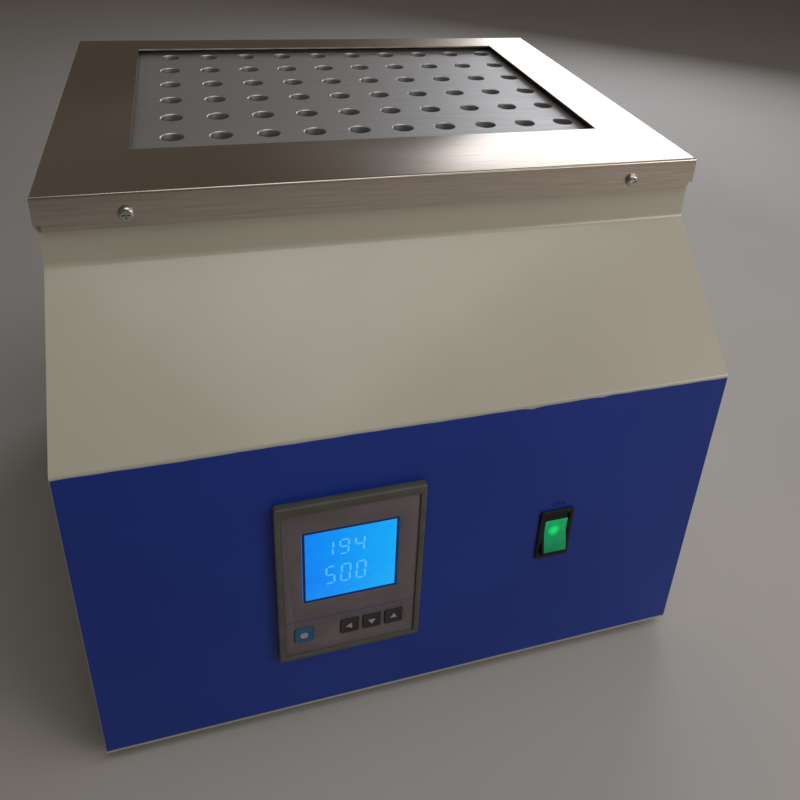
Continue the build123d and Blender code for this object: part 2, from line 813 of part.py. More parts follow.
faceFront = frontY - bezelProud + faceRecess
faceBack = faceFront + faceThickness
keyXs = [setKeyX] + [arrowKeyX + arrowKeyPitch * i for i in range(3)]
with BuildPart() as controller_face:
    with BuildSketch(facing_front(faceFront)):
        with Locations((controllerX, faceMid)):
            Rectangle(faceWidth - 2 * faceFit, faceHeight - 2 * faceFit)
        with Locations((controllerX + lcdX, controllerMid + lcdZ)):
            Rectangle(lcdWidth + 2 * faceFit, lcdHeight + 2 * faceFit, mode=Mode.SUBTRACT)
        for x in keyXs:
            with Locations((controllerX + x, controllerMid + keyRowZ)):
                RectangleRounded(
                    keySize + 2 * keyFit, keySize + 2 * keyFit, keyRadius, mode=Mode.SUBTRACT
                )
    extrude(amount=-faceThickness)
finish(controller_face, "controller_face")

with BuildPart() as controller_case:
    with BuildSketch(facing_front(frontY - filmThickness)):
        with Locations((controllerX, controllerMid)):
            Rectangle(controllerCaseWidth, controllerCaseHeight)
    extrude(amount=-controllerCaseDepth)
    # rim that carries the face plate inside the bezel
    with BuildSketch(facing_front(frontY - filmThickness)):
        with Locations((controllerX, faceMid)):
            Rectangle(faceWidth - 2 * faceFit, faceHeight - 2 * faceFit)
            offset(amount=-clampThickness, mode=Mode.SUBTRACT)
    extrude(amount=frontY - filmThickness - faceBack)
finish(controller_case, "controller_case")

with BuildPart() as lcd_window:
    with BuildSketch(facing_front(frontY - filmThickness)):
        with Locations((controllerX + lcdX, controllerMid + lcdZ)):
            Rectangle(lcdWidth, lcdHeight)
    extrude(amount=frontY - filmThickness - faceFront - lcdRecess)
finish(lcd_window, "lcd_window")

# The four keys, each held behind the face plate by a lip
for name, x in zip(("set_key", "shift_key", "down_key", "up_key"), keyXs):
    with BuildPart() as key:
        with BuildSketch(facing_front(faceBack + keyFit)):
            with Locations((controllerX + x, controllerMid + keyRowZ)):
                RectangleRounded(keySize, keySize, keyRadius)
        extrude(amount=keyProud + faceThickness + keyFit)
        with BuildSketch(facing_front(faceBack + keyFit)):
            with Locations((controllerX + x, controllerMid + keyRowZ)):
                Rectangle(keySize + 2 * keyLip, keySize + 2 * keyLip)
        extrude(amount=-keyLipThickness)
    finish(key, name)

# Side clamps that pull the bezel against the front sheet
with BuildPart() as controller_clamps:
    clampX = controllerCaseWidth / 2 + seam
    with BuildSketch(Plane.XY.offset(controllerMid - clampWidth / 2)):
        for side in (-1, 1):
            with BuildLine():
                Polyline(
                    (controllerX + side * clampX, frontY + sheet),
                    (controllerX + side * (clampX + clampToe), frontY + sheet),
                    (controllerX + side * (clampX + clampToe), frontY + sheet + clampThickness),
                    (controllerX + side * (clampX + clampThickness), frontY + sheet + 2 * clampThickness),
                    (controllerX + side * (clampX + clampThickness), frontY + sheet + clampLength),
                    (controllerX + side * clampX, frontY + sheet + clampLength),
                    close=True,
                )
            make_face()
    extrude(amount=clampWidth)
finish(controller_clamps, "controller_clamps")

# Power switch: a hollow housing and the rocker in it, resting at ON with its top pressed in
with BuildPart() as switch_housing:
    with BuildSketch(facing_front(frontY - filmThickness)):
        with Locations((switchX, switchMid)):
            RectangleRounded(switchWidth, switchHeight, switchRadius)
    extrude(amount=switchProud - filmThickness)
    chamfer(switch_housing.faces().sort_by(Axis.Y)[0].edges(), bezelEdge)
    with BuildSketch(facing_front(frontY - filmThickness)):
        with Locations((switchX, switchMid)):
            Rectangle(switchBodyWidth, switchBodyHeight)
    extrude(amount=-switchBodyDepth)
    with BuildSketch(facing_front(frontY - switchProud)):
        with Locations((switchX, switchMid)):
            Rectangle(rockerWidth + 2 * rockerFit, 2 * wellHalf)
    extrude(amount=-(switchProud + rockerWell), mode=Mode.SUBTRACT)
    with BuildSketch(Plane.YZ.offset(switchX - rockerWidth / 2 - rockerFit - pinLength)):
        with Locations((pivotY, switchMid)):
            RegularPolygon(pinRadius + pinFit, 16, major_radius=False)
    extrude(amount=rockerWidth + 2 * rockerFit + 2 * pinLength, mode=Mode.SUBTRACT)
    with BuildSketch(facing_front(frontY - filmThickness + switchBodyDepth)):
        with Locations((switchX, switchMid)):
            with GridLocations(switchBodyWidth / 2, switchBodyHeight / 3, 2, 2):
                Rectangle(tabThickness, tabWidth)
    extrude(amount=-tabLength)
finish(switch_housing, "switch_housing")

halfSwing = radians(rockerSwing / 2)
rockerPlane = Plane(
    origin=(switchX - rockerWidth / 2, pivotY, switchMid),
    x_dir=(0, cos(halfSwing), -sin(halfSwing)),
    z_dir=(1, 0, 0),
)
rockerFace = -(rockerPivotDepth + rockerBrow)
rockerReach = 2 * rockerRadius
rockerRise = rockerReach * tan(halfSwing)
with BuildPart() as power_rocker:
    with BuildSketch(rockerPlane):
        Circle(rockerRadius)
        with Locations((rockerKeel, 0)):
            Rectangle(
                rockerReach, 2 * rockerReach, align=(Align.MIN, Align.CENTER), mode=Mode.SUBTRACT
            )
        # its front is two flats that meet in a shallow valley
        with BuildLine():
            Polyline(
                (rockerFace, 0),
                (rockerFace - rockerRise, rockerReach),
                (rockerFace - rockerRise - rockerReach, rockerReach),
                (rockerFace - rockerRise - rockerReach, -rockerReach),
                (rockerFace - rockerRise, -rockerReach),
                close=True,
            )
        make_face(mode=Mode.SUBTRACT)
    extrude(amount=rockerWidth)
    with BuildSketch(Plane.YZ.offset(switchX - rockerWidth / 2 - pinLength)):
        with Locations((pivotY, switchMid)):
            RegularPolygon(pinRadius, 16)
    extrude(amount=rockerWidth + 2 * pinLength)
finish(power_rocker, "power_rocker")

# Mains inlet on the rear sheet
with BuildPart() as power_inlet:
    with BuildSketch(facing_rear(rearY)):
        with Locations((-inletX, inletMid)):
            RectangleRounded(inletFlangeWidth, inletFlangeHeight, inletFlangeCorner)
    extrude(amount=inletFlangeProud)
    with BuildSketch(facing_rear(rearY)):
        with Locations((-inletX, inletMid)):
            Rectangle(inletBodyWidth, inletBodyHeight)
    extrude(amount=-inletBodyDepth)
    with BuildSketch(facing_rear(rearY + inletFlangeProud)):
        with Locations((-inletX, inletMid)):
            Rectangle(inletRecessWidth, inletRecessHeight)
            chamfer(vertices().group_by(Axis.Y)[0], inletRecessCorner)
    extrude(amount=-inletRecessDepth, mode=Mode.SUBTRACT)
    with BuildSketch(facing_rear(rearY + inletFlangeProud - inletRecessDepth)):
        with Locations((-inletX, inletMid)):
            with Locations((-inletPinSpacing / 2, 0), (inletPinSpacing / 2, 0), (0, inletPinRise)):
                Rectangle(inletPinWidth, inletPinHeight)
    extrude(amount=inletPinLength)
    with BuildSketch(facing_rear(rearY - inletBodyDepth)):
        with Locations((-inletX, inletMid)):
            with GridLocations(inletPinSpacing / 2, 1, 3, 1):
                Rectangle(tabThickness, tabWidth)
    extrude(amount=-tabLength)
    with BuildSketch(facing_rear(rearY)):
        with Locations((-inletX, inletMid)):
            with GridLocations(inletScrewSpacing, 1, 2, 1):
                RegularPolygon(smallScrewShank + screwFit, 6)
    extrude(amount=inletFlangeProud, mode=Mode.SUBTRACT)
finish(power_inlet, "power_inlet")

with BuildPart() as inlet_screws:
    for side in (-1, 1):
        screw(
            facing_rear(rearY + inletFlangeProud),
            (side * inletScrewSpacing / 2 - inletX, inletMid),
            smallScrewHead,
            smallScrewHeadHeight,
            smallScrewShank,
            smallScrewLength,
        )
finish(inlet_screws, "inlet_screws")

# Fuse holder with its bayonet cap
with BuildPart() as fuse_holder:
    with BuildSketch(facing_rear(rearY)):
        with Locations((-fuseX, fuseMid)):
            RegularPolygon(fuseFlangeRadius, 16)
    extrude(amount=fuseFlangeProud)
    with BuildSketch(facing_rear(rearY)):
        with Locations((-fuseX, fuseMid)):
            RegularPolygon(fuseBodyRadius, 12)
    extrude(amount=-fuseBodyLength)
    with BuildSketch(facing_rear(rearY + fuseFlangeProud)):
        with Locations((-fuseX, fuseMid)):
            Circle(fuseCapStem + fuseCapFit)
    extrude(amount=-(fuseCapStemLength + fuseCapGap), mode=Mode.SUBTRACT)
    with BuildSketch(facing_rear(rearY - fuseBodyLength)):
        with Locations((-fuseX, fuseMid)):
            Rectangle(tabThickness, tabWidth)
    extrude(amount=-tabLength)
finish(fuse_holder, "fuse_holder")

with BuildPart() as fuse_cap:
    with BuildSketch(facing_rear(rearY + fuseFlangeProud + fuseCapGap)):
        with Locations((-fuseX, fuseMid)):
            Circle(fuseCapRadius)
    extrude(amount=fuseCapProud - fuseFlangeProud - fuseCapGap)
    chamfer(fuse_cap.edges().filter_by(GeomType.CIRCLE).sort_by(Axis.Y)[-1], fuseCapEdge)
    with BuildSketch(facing_rear(rearY + fuseCapProud)):
        with Locations((-fuseX, fuseMid)):
            Rectangle(4 * fuseCapRadius, fuseSlotWidth)
    extrude(amount=-fuseSlotDepth, mode=Mode.SUBTRACT)
    with BuildSketch(facing_rear(rearY + fuseFlangeProud + fuseCapGap)):
        with Locations((-fuseX, fuseMid)):
            Circle(fuseCapStem)
    extrude(amount=-fuseCapStemLength)
finish(fuse_cap, "fuse_cap")

# Solid-state relay on its finned heatsink, standing on the base pan
with BuildPart() as relay_heatsink:
    finPitch = (sinkWidth - sinkFin) / (sinkFins - 1)
    with BuildSketch(Plane.XZ.offset(-(sinkY + sinkLength / 2))):
        with Locations((sinkX, sinkTop)):
            Rectangle(sinkWidth, sinkBase, align=(Align.CENTER, Align.MAX))
        with Locations((sinkX, panTop)):
            with GridLocations(finPitch, 1, sinkFins, 1):
                Rectangle(sinkFin, sinkFinHeight, align=(Align.CENTER, Align.MIN))
            Rectangle(sinkWidth + 2 * sinkFoot, sinkFin, align=(Align.CENTER, Align.MIN))
            Rectangle(
                sinkWidth - 2 * sinkFin, sinkFin, align=(Align.CENTER, Align.MIN), mode=Mode.SUBTRACT
            )
            with GridLocations(finPitch, 1, sinkFins, 1):
                Rectangle(sinkFin, sinkFinHeight, align=(Align.CENTER, Align.MIN))
    extrude(amount=sinkLength)
    with BuildSketch(Plane.XY.offset(panTop)):
        with Locations((sinkX, sinkY)):
            with GridLocations(sinkWidth + sinkFoot, sinkLength - 2 * sinkFoot, 2, 2):
                RegularPolygon(smallScrewShank + screwFit, 6)
    extrude(amount=sinkFin, mode=Mode.SUBTRACT)
    with BuildSketch(Plane.XY.offset(sinkTop)):
        with Locations((sinkX, sinkY)):
            with GridLocations(1, relayScrewSpacing, 1, 2):
                RegularPolygon(smallScrewShank + screwFit, 6)
    extrude(amount=-sinkBase, mode=Mode.SUBTRACT)
finish(relay_heatsink, "relay_heatsink")

with BuildPart() as relay:
    with BuildSketch(Plane.YZ.offset(sinkX - relayWidth / 2)):
        with Locations((sinkY, sinkTop)):
            Rectangle(relayLength, relayHeight, align=(Align.CENTER, Align.MIN))
        for side in (-1, 1):
            with Locations((sinkY + side * relayLength / 2, sinkTop + relayLedge)):
                Rectangle(2 * relayNotch, relayHeight, align=(Align.CENTER, Align.MIN), mode=Mode.SUBTRACT)
    extrude(amount=relayWidth)
    with BuildSketch(Plane.XY.offset(sinkTop)):
        with Locations((sinkX, sinkY)):
            with GridLocations(1, relayScrewSpacing, 1, 2):
                RegularPolygon(smallScrewShank + screwFit, 6)
    extrude(amount=relayHeight, mode=Mode.SUBTRACT)
finish(relay, "relay")

with BuildPart() as relay_screws:
    for side in (-1, 1):
        screw(
            Plane.XY.offset(sinkTop + relayLedge),
            (sinkX, sinkY + side * relayScrewSpacing / 2),
            smallScrewHead,
            smallScrewHeadHeight,
            smallScrewShank,
            relayLedge + sinkBase,
        )
finish(relay_screws, "relay_screws")

# Terminal block for the mains wiring
with BuildPart() as terminal_block:
    with BuildSketch(Plane.XZ.offset(-(terminalsY + terminalsDepth / 2))):
        with Locations((terminalsX, panTop)):
            Rectangle(terminalsWidth, terminalsBase, align=(Align.CENTER, Align.MIN))
            with GridLocations(wayPitch, 1, terminalsWays + 1, 1):
                Rectangle(terminalsWall, terminalsBase + terminalsRise, align=(Align.CENTER, Align.MIN))
    extrude(amount=terminalsDepth)
    with BuildSketch(Plane.XY.offset(panTop)):
        with Locations((terminalsX, terminalsY)):
            with GridLocations(wayPitch * (terminalsWays - 1), 1, 2, 1):
                RegularPolygon(smallScrewShank + screwFit, 6)
    extrude(amount=terminalsBase, mode=Mode.SUBTRACT)
finish(terminal_block, "terminal_block")

# Screws that hold the heatsink and the terminal block down to the pan
with BuildPart() as pan_screws:
    for x in (-1, 1):
        for y in (-1, 1):
            screw(
                Plane.XY.offset(panTop + sinkFin),
                (sinkX + x * (sinkWidth + sinkFoot) / 2, sinkY + y * (sinkLength / 2 - sinkFoot)),
                smallScrewHead,
                smallScrewHeadHeight,
                smallScrewShank,
                sinkFin + sheet,
            )
        screw(
            Plane.XY.offset(panTop + terminalsBase),
            (terminalsX + x * wayPitch * (terminalsWays - 1) / 2, terminalsY),
            smallScrewHead,
            smallScrewHeadHeight,
            smallScrewShank,
            terminalsBase + sheet,
        )
finish(pan_screws, "pan_screws")

# Earth stud through the pan, with its nut
with BuildPart() as earth_stud:
    with BuildSketch(Plane.XY.offset(floorZ)):
        with Locations((earthX, earthY)):
            RegularPolygon(earthRadius, 12)
    extrude(amount=earthHeight)
    with BuildSketch(Plane.XY.offset(floorZ)):
        with Locations((earthX, earthY)):
            RegularPolygon(earthNutRadius, 6)
    extrude(amount=-earthHeadHeight)
finish(earth_stud, "earth_stud")

with BuildPart() as earth_nut:
    with BuildSketch(Plane.XY.offset(panTop)):
        with Locations((earthX, earthY)):
            RegularPolygon(earthNutRadius, 6)
            RegularPolygon(earthRadius + screwFit, 12, mode=Mode.SUBTRACT)
    extrude(amount=earthNutHeight)
finish(earth_nut, "earth_nut")

# Screws through the side sheets into the folded ends of the tray and into the base pan
with BuildPart() as side_screws:
    for side in (-1, 1):
        for z, ys in ((trayScrewZ, trayScrewYs), (panScrewZ, panScrewYs)):
            for y in ys:
                screw(
                    Plane(origin=(side * halfWidth, 0, 0), x_dir=(0, 1, 0), z_dir=(side, 0, 0)),
                    (y, side * z),
                    smallScrewHead,
                    sideScrewHeadHeight,
                    smallScrewShank,
                    sideScrewLength,
                )
finish(side_screws, "side_screws")
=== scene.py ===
import bpy
import bmesh
import math
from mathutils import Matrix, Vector


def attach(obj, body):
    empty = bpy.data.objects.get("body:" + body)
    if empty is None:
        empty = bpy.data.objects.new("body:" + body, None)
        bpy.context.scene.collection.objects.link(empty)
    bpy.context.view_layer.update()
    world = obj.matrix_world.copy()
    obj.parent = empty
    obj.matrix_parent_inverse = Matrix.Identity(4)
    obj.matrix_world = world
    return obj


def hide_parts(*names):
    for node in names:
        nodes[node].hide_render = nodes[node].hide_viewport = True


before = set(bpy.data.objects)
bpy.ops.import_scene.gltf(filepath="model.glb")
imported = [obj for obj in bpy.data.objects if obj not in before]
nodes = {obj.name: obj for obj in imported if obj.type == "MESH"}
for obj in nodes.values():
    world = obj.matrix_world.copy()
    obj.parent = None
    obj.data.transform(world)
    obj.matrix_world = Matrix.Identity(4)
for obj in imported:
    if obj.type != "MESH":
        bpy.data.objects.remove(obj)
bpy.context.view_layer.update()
print("block digester: frame loaded")

mm = 0.001


# camera and light
camera = {
    "place": (-0.12439, -0.58888, 0.58133),
    "turn": (62.467, -3.973, -17.610),
    "lens": 36.945,
    "shift": (-0.0738, -0.1963),
}
bpy.ops.object.camera_add(location=camera["place"], rotation=[math.radians(a) for a in camera["turn"]])
view = bpy.context.object
view.name = "camera"
view.data.lens = camera["lens"]
view.data.sensor_width = 36
view.data.shift_x, view.data.shift_y = camera["shift"]
view.data.clip_start = 0.01
bpy.context.scene.camera = view
bpy.context.scene.view_settings.view_transform = "Standard"


def softLight(name, place, aim, size, power, colour):
    bpy.ops.object.light_add(type="AREA", location=place)
    lamp = bpy.context.object
    lamp.name = name
    lamp.data.shape = "RECTANGLE"
    lamp.data.size, lamp.data.size_y = size
    lamp.data.energy = power
    lamp.data.color = colour
    lamp.rotation_euler = (Vector(aim) - Vector(place)).to_track_quat("-Z", "Y").to_euler()
    return lamp


lights = {
    "windowLight": {
        "place": (1.08, 1.33, 0.85),
        "aim": (0.15, 0.1, 0.37),
        "size": (0.95, 0.8),
        "power": 9.0,
        "colour": (0.93, 0.95, 1.0),
    },
    "overheadLight": {
        "place": (0.3, -0.5, 1.75),
        "aim": (0.0, -0.15, 0.3),
        "size": (1.5, 1.0),
        "power": 9.8,
        "colour": (1.0, 0.98, 0.95),
    },
    "keyLight": {
        "place": (1.5, -1.3, 0.8),
        "aim": (0.1, -0.1, 0.2),
        "size": (0.9, 0.9),
        "power": 7.5,
        "colour": (1.0, 0.92, 0.84),
    },
    "leftLight": {
        "place": (-1.5, -0.9, 1.2),
        "aim": (0, 0, 0.2),
        "size": (1.0, 1.0),
        "power": 0.1,
        "colour": (1.0, 0.95, 0.88),
    },
    "benchLight": {
        "place": (0.95, -1.35, 0.9),
        "aim": (0.75, -0.95, 0.0),
        "size": (0.6, 0.6),
        "power": 4.5,
        "colour": (1.0, 0.92, 0.86),
    },
}
for name, lamp in lights.items():
    softLight(name, **lamp)

room = {"tint": (1.0, 0.82, 0.66, 1), "strength": 0.085}
world = bpy.data.worlds.new("studio")
bpy.context.scene.world = world
world.use_nodes = True
world.node_tree.nodes["Background"].inputs["Color"].default_value = room["tint"]
world.node_tree.nodes["Background"].inputs["Strength"].default_value = room["strength"]


# materials
def effectGroup(name, inputs, outputs):
    group = bpy.data.node_groups.new(name, "ShaderNodeTree")
    for label, kind, value in inputs:
        socket = group.interface.new_socket(label, in_out="INPUT", socket_type=kind)
        socket.default_value = value
    for label, kind in outputs:
        group.interface.new_socket(label, in_out="OUTPUT", socket_type=kind)
    start = group.nodes.new("NodeGroupInput")
    end = group.nodes.new("NodeGroupOutput")
    return group, start, end


def mathNode(tree, operation, first, second):
    node = tree.nodes.new("ShaderNodeMath")
    node.operation = operation
    for socket, value in zip(node.inputs, (first, second)):
        if isinstance(value, (int, float)):
            socket.default_value = value
        else:
            tree.links.new(value, socket)
    return node.outputs[0]


def mixColours(tree, factor, first, second):
    node = tree.nodes.new("ShaderNodeMix")
    node.data_type = "RGBA"
    for socket, value in ((node.inputs[0], factor), (node.inputs[6], first), (node.inputs[7], second)):
        if isinstance(value, (int, float)):
            socket.default_value = value
        elif isinstance(value, tuple):
            socket.default_value = value
        else:
            tree.links.new(value, socket)
    return node.outputs[2]


def noiseOn(tree, vector, scale, detail):
    node = tree.nodes.new("ShaderNodeTexNoise")
    node.inputs["Detail"].default_value = detail
    if isinstance(scale, (int, float)):
        node.inputs["Scale"].default_value = scale
    else:
        tree.links.new(scale, node.inputs["Scale"])
    tree.links.new(vector, node.inputs["Vector"])
    return node.outputs["Fac"]


# soft patches and fine grain, for paint, plastic, rubber and cast metal
patches, start, end = effectGroup(
    "patchesAndGrain",
    [
        ("Light Colour", "NodeSocketColor", (0.5, 0.5, 0.5, 1)),
        ("Dark Colour", "NodeSocketColor", (0.4, 0.4, 0.4, 1)),
        ("Patch Scale", "NodeSocketFloat", 9.0),
        ("Grain Scale", "NodeSocketFloat", 900.0),
        ("Grain Amount", "NodeSocketFloat", 0.1),
        ("Roughness Low", "NodeSocketFloat", 0.35),
        ("Roughness High", "NodeSocketFloat", 0.5),
    ],
    [("Colour", "NodeSocketColor"), ("Height", "NodeSocketFloat"), ("Roughness", "NodeSocketFloat")],
)
place = patches.nodes.new("ShaderNodeTexCoord").outputs["Object"]
wide = noiseOn(patches, place, start.outputs["Patch Scale"], 3.0)
fine = noiseOn(patches, place, start.outputs["Grain Scale"], 2.0)
spread = patches.nodes.new("ShaderNodeMapRange")
spread.inputs["From Min"].default_value = 0.35
spread.inputs["From Max"].default_value = 0.65
patches.links.new(wide, spread.inputs["Value"])
shade = mathNode(patches, "MULTIPLY_ADD", fine, start.outputs["Grain Amount"])
patches.links.new(spread.outputs[0], shade.node.inputs[2])
colour = mixColours(patches, shade, start.outputs["Light Colour"], start.outputs["Dark Colour"])
patches.links.new(colour, end.inputs["Colour"])
patches.links.new(fine, end.inputs["Height"])
rough = patches.nodes.new("ShaderNodeMapRange")
patches.links.new(spread.outputs[0], rough.inputs["Value"])
patches.links.new(start.outputs["Roughness Low"], rough.inputs["To Min"])
patches.links.new(start.outputs["Roughness High"], rough.inputs["To Max"])
patches.links.new(rough.outputs[0], end.inputs["Roughness"])

# long fine scratches along X, for brushed and rolled metal
brushed, start, end = effectGroup(
    "brushedAlongX",
    [
        ("Light Colour", "NodeSocketColor", (0.7, 0.7, 0.7, 1)),
        ("Dark Colour", "NodeSocketColor", (0.5, 0.5, 0.5, 1)),
        ("Line Scale", "NodeSocketFloat", 900.0),
        ("Patch Scale", "NodeSocketFloat", 6.0),
        ("Roughness Low", "NodeSocketFloat", 0.25),
        ("Roughness High", "NodeSocketFloat", 0.4),
    ],
    [("Colour", "NodeSocketColor"), ("Height", "NodeSocketFloat"), ("Roughness", "NodeSocketFloat")],
)
place = brushed.nodes.new("ShaderNodeTexCoord").outputs["Object"]
stretch = brushed.nodes.new("ShaderNodeMapping")
stretch.inputs["Scale"].default_value = (0.02, 1.0, 1.0)
brushed.links.new(place, stretch.inputs["Vector"])
lines = noiseOn(brushed, stretch.outputs[0], start.outputs["Line Scale"], 4.0)
cloud = noiseOn(brushed, place, start.outputs["Patch Scale"], 2.0)
spread = brushed.nodes.new("ShaderNodeMapRange")
spread.inputs["From Min"].default_value = 0.3
spread.inputs["From Max"].default_value = 0.7
brushed.links.new(lines, spread.inputs["Value"])
colour = mixColours(
    brushed, spread.outputs[0], start.outputs["Light Colour"], start.outputs["Dark Colour"]
)
brushed.links.new(colour, end.inputs["Colour"])
brushed.links.new(lines, end.inputs["Height"])
both = mathNode(brushed, "MULTIPLY", mathNode(brushed, "ADD", spread.outputs[0], cloud), 0.5)
rough = brushed.nodes.new("ShaderNodeMapRange")
brushed.links.new(both, rough.inputs["Value"])
brushed.links.new(start.outputs["Roughness Low"], rough.inputs["To Min"])
brushed.links.new(start.outputs["Roughness High"], rough.inputs["To Max"])
brushed.links.new(rough.outputs[0], end.inputs["Roughness"])


def finishMaterial(name, group, settings, bump, shader):
    # the effect group feeds colour, roughness and a fine bump of a Principled shader
    material = bpy.data.materials.new(name)
    material.use_nodes = True
    tree = material.node_tree
    principled = tree.nodes["Principled BSDF"]
    effect = tree.nodes.new("ShaderNodeGroup")
    effect.node_tree = group
    for label, value in settings.items():
        effect.inputs[label].default_value = value
    tree.links.new(effect.outputs["Colour"], principled.inputs["Base Color"])
    tree.links.new(effect.outputs["Roughness"], principled.inputs["Roughness"])
    relief = tree.nodes.new("ShaderNodeBump")
    relief.inputs["Strength"].default_value = bump[0]
    relief.inputs["Distance"].default_value = bump[1]
    tree.links.new(effect.outputs["Height"], relief.inputs["Height"])
    tree.links.new(relief.outputs["Normal"], principled.inputs["Normal"])
    for label, value in shader.items():
        principled.inputs[label].default_value = value
    return material


def grained(name, light, dark, patch, grain, amount, rough, bump, **shader):
    settings = {
        "Light Colour": (*light, 1),
        "Dark Colour": (*dark, 1),
        "Patch Scale": patch,
        "Grain Scale": grain,
        "Grain Amount": amount,
        "Roughness Low": rough[0],
        "Roughness High": rough[1],
    }
    return finishMaterial(
        name, patches, settings, bump, {k.replace("_", " "): v for k, v in shader.items()}
    )


def lined(name, light, dark, lines, patch, rough, bump, **shader):
    settings = {
        "Light Colour": (*light, 1),
        "Dark Colour": (*dark, 1),
        "Line Scale": lines,
        "Patch Scale": patch,
        "Roughness Low": rough[0],
        "Roughness High": rough[1],
    }
    shader = {"Metallic": 1.0, **{k.replace("_", " "): v for k, v in shader.items()}}
    return finishMaterial(name, brushed, settings, bump, shader)


creamPaint = grained(
    "creamPaint",
    light=(0.50, 0.485, 0.41), dark=(0.45, 0.435, 0.365),
    patch=5.0, grain=700.0, amount=0.12,
    rough=(0.28, 0.36), bump=(0.12, 0.0004),
    Coat_Weight=0.25, Coat_Roughness=0.12,
)
bluePaint = grained(
    "bluePaint",
    light=(0.006, 0.040, 0.34), dark=(0.004, 0.031, 0.28),
    patch=4.0, grain=800.0, amount=0.10,
    rough=(0.36, 0.46), bump=(0.10, 0.0003),
    Specular_IOR_Level=0.38,
)
stainless = lined(
    "stainless",
    light=(0.60, 0.54, 0.48), dark=(0.47, 0.41, 0.35),
    lines=1400.0, patch=5.0,
    rough=(0.24, 0.36), bump=(0.06, 0.0002),
    Anisotropic=0.55,
)
blockAluminium = lined(
    "blockAluminium",
    light=(0.56, 0.56, 0.57), dark=(0.46, 0.46, 0.47),
    lines=800.0, patch=8.0,
    rough=(0.50, 0.60), bump=(0.08, 0.0002),
)
zincSheet = lined(
    "zincSheet",
    light=(0.58, 0.60, 0.62), dark=(0.46, 0.48, 0.50),
    lines=500.0, patch=30.0,
    rough=(0.35, 0.5), bump=(0.05, 0.0002),
)
plainSteel = lined(
    "plainSteel",
    light=(0.62, 0.62, 0.61), dark=(0.45, 0.45, 0.44),
    lines=1500.0, patch=60.0,
    rough=(0.22, 0.34), bump=(0.05, 0.0001),
)
castAluminium = grained(
    "castAluminium",
    light=(0.50, 0.50, 0.50), dark=(0.40, 0.40, 0.40),
    patch=40.0, grain=1200.0, amount=0.3,
    rough=(0.45, 0.6), bump=(0.3, 0.0005),
    Metallic=1.0,
)
brassMetal = lined(
    "brassMetal",
    light=(0.75, 0.55, 0.24), dark=(0.60, 0.42, 0.16),
    lines=1200.0, patch=60.0,
    rough=(0.25, 0.4), bump=(0.05, 0.0001),
)
fibreBoard = grained(
    "fibreBoard",
    light=(0.80, 0.77, 0.69), dark=(0.68, 0.64, 0.56),
    patch=50.0, grain=1500.0, amount=0.4,
    rough=(0.85, 0.95), bump=(0.5, 0.0008),
)
ceramicPost = grained(
    "ceramicPost",
    light=(0.80, 0.77, 0.69), dark=(0.72, 0.68, 0.60),
    patch=80.0, grain=900.0, amount=0.2,
    rough=(0.35, 0.5), bump=(0.1, 0.0002),
)
olivePlastic = grained(
    "olivePlastic",
    light=(0.100, 0.100, 0.078), dark=(0.078, 0.078, 0.062),
    patch=60.0, grain=2600.0, amount=0.25,
    rough=(0.42, 0.52), bump=(0.25, 0.0002),
)
mauvePlastic = grained(
    "mauvePlastic",
    light=(0.160, 0.135, 0.150), dark=(0.138, 0.117, 0.132),
    patch=40.0, grain=2600.0, amount=0.18,
    rough=(0.40, 0.50), bump=(0.15, 0.0002),
)
blackPlastic = grained(
    "blackPlastic",
    light=(0.016, 0.016, 0.018), dark=(0.010, 0.010, 0.012),
    patch=70.0, grain=2200.0, amount=0.25,
    rough=(0.32, 0.44), bump=(0.2, 0.0002),
    Specular_IOR_Level=0.2,
)
darkKeyPlastic = grained(
    "darkKeyPlastic",
    light=(0.030, 0.018, 0.022), dark=(0.018, 0.011, 0.014),
    patch=120.0, grain=2600.0, amount=0.2,
    rough=(0.35, 0.45), bump=(0.12, 0.0001),
)
blueKeyPlastic = grained(
    "blueKeyPlastic",
    light=(0.012, 0.13, 0.27), dark=(0.008, 0.09, 0.21),
    patch=120.0, grain=2600.0, amount=0.2,
    rough=(0.25, 0.35), bump=(0.10, 0.0001),
)
paleMark = grained(
    "paleMark",
    light=(0.42, 0.44, 0.46), dark=(0.34, 0.36, 0.38),
    patch=150.0, grain=2600.0, amount=0.2,
    rough=(0.45, 0.55), bump=(0.05, 0.0001),
)
thinLine = grained(
    "thinLine",
    light=(0.040, 0.090, 0.30), dark=(0.030, 0.070, 0.24),
    patch=150.0, grain=2600.0, amount=0.2,
    rough=(0.45, 0.55), bump=(0.05, 0.0001),
)
footRubber = grained(
    "footRubber",
    light=(0.018, 0.018, 0.018), dark=(0.010, 0.010, 0.010),
    patch=90.0, grain=1400.0, amount=0.35,
    rough=(0.7, 0.85), bump=(0.4, 0.0004),
)
floorPaint = grained(
    "floorPaint",
    light=(0.46, 0.45, 0.44), dark=(0.43, 0.42, 0.41),
    patch=1.5, grain=200.0, amount=0.05,
    rough=(0.7, 0.8), bump=(0.05, 0.0005),
)


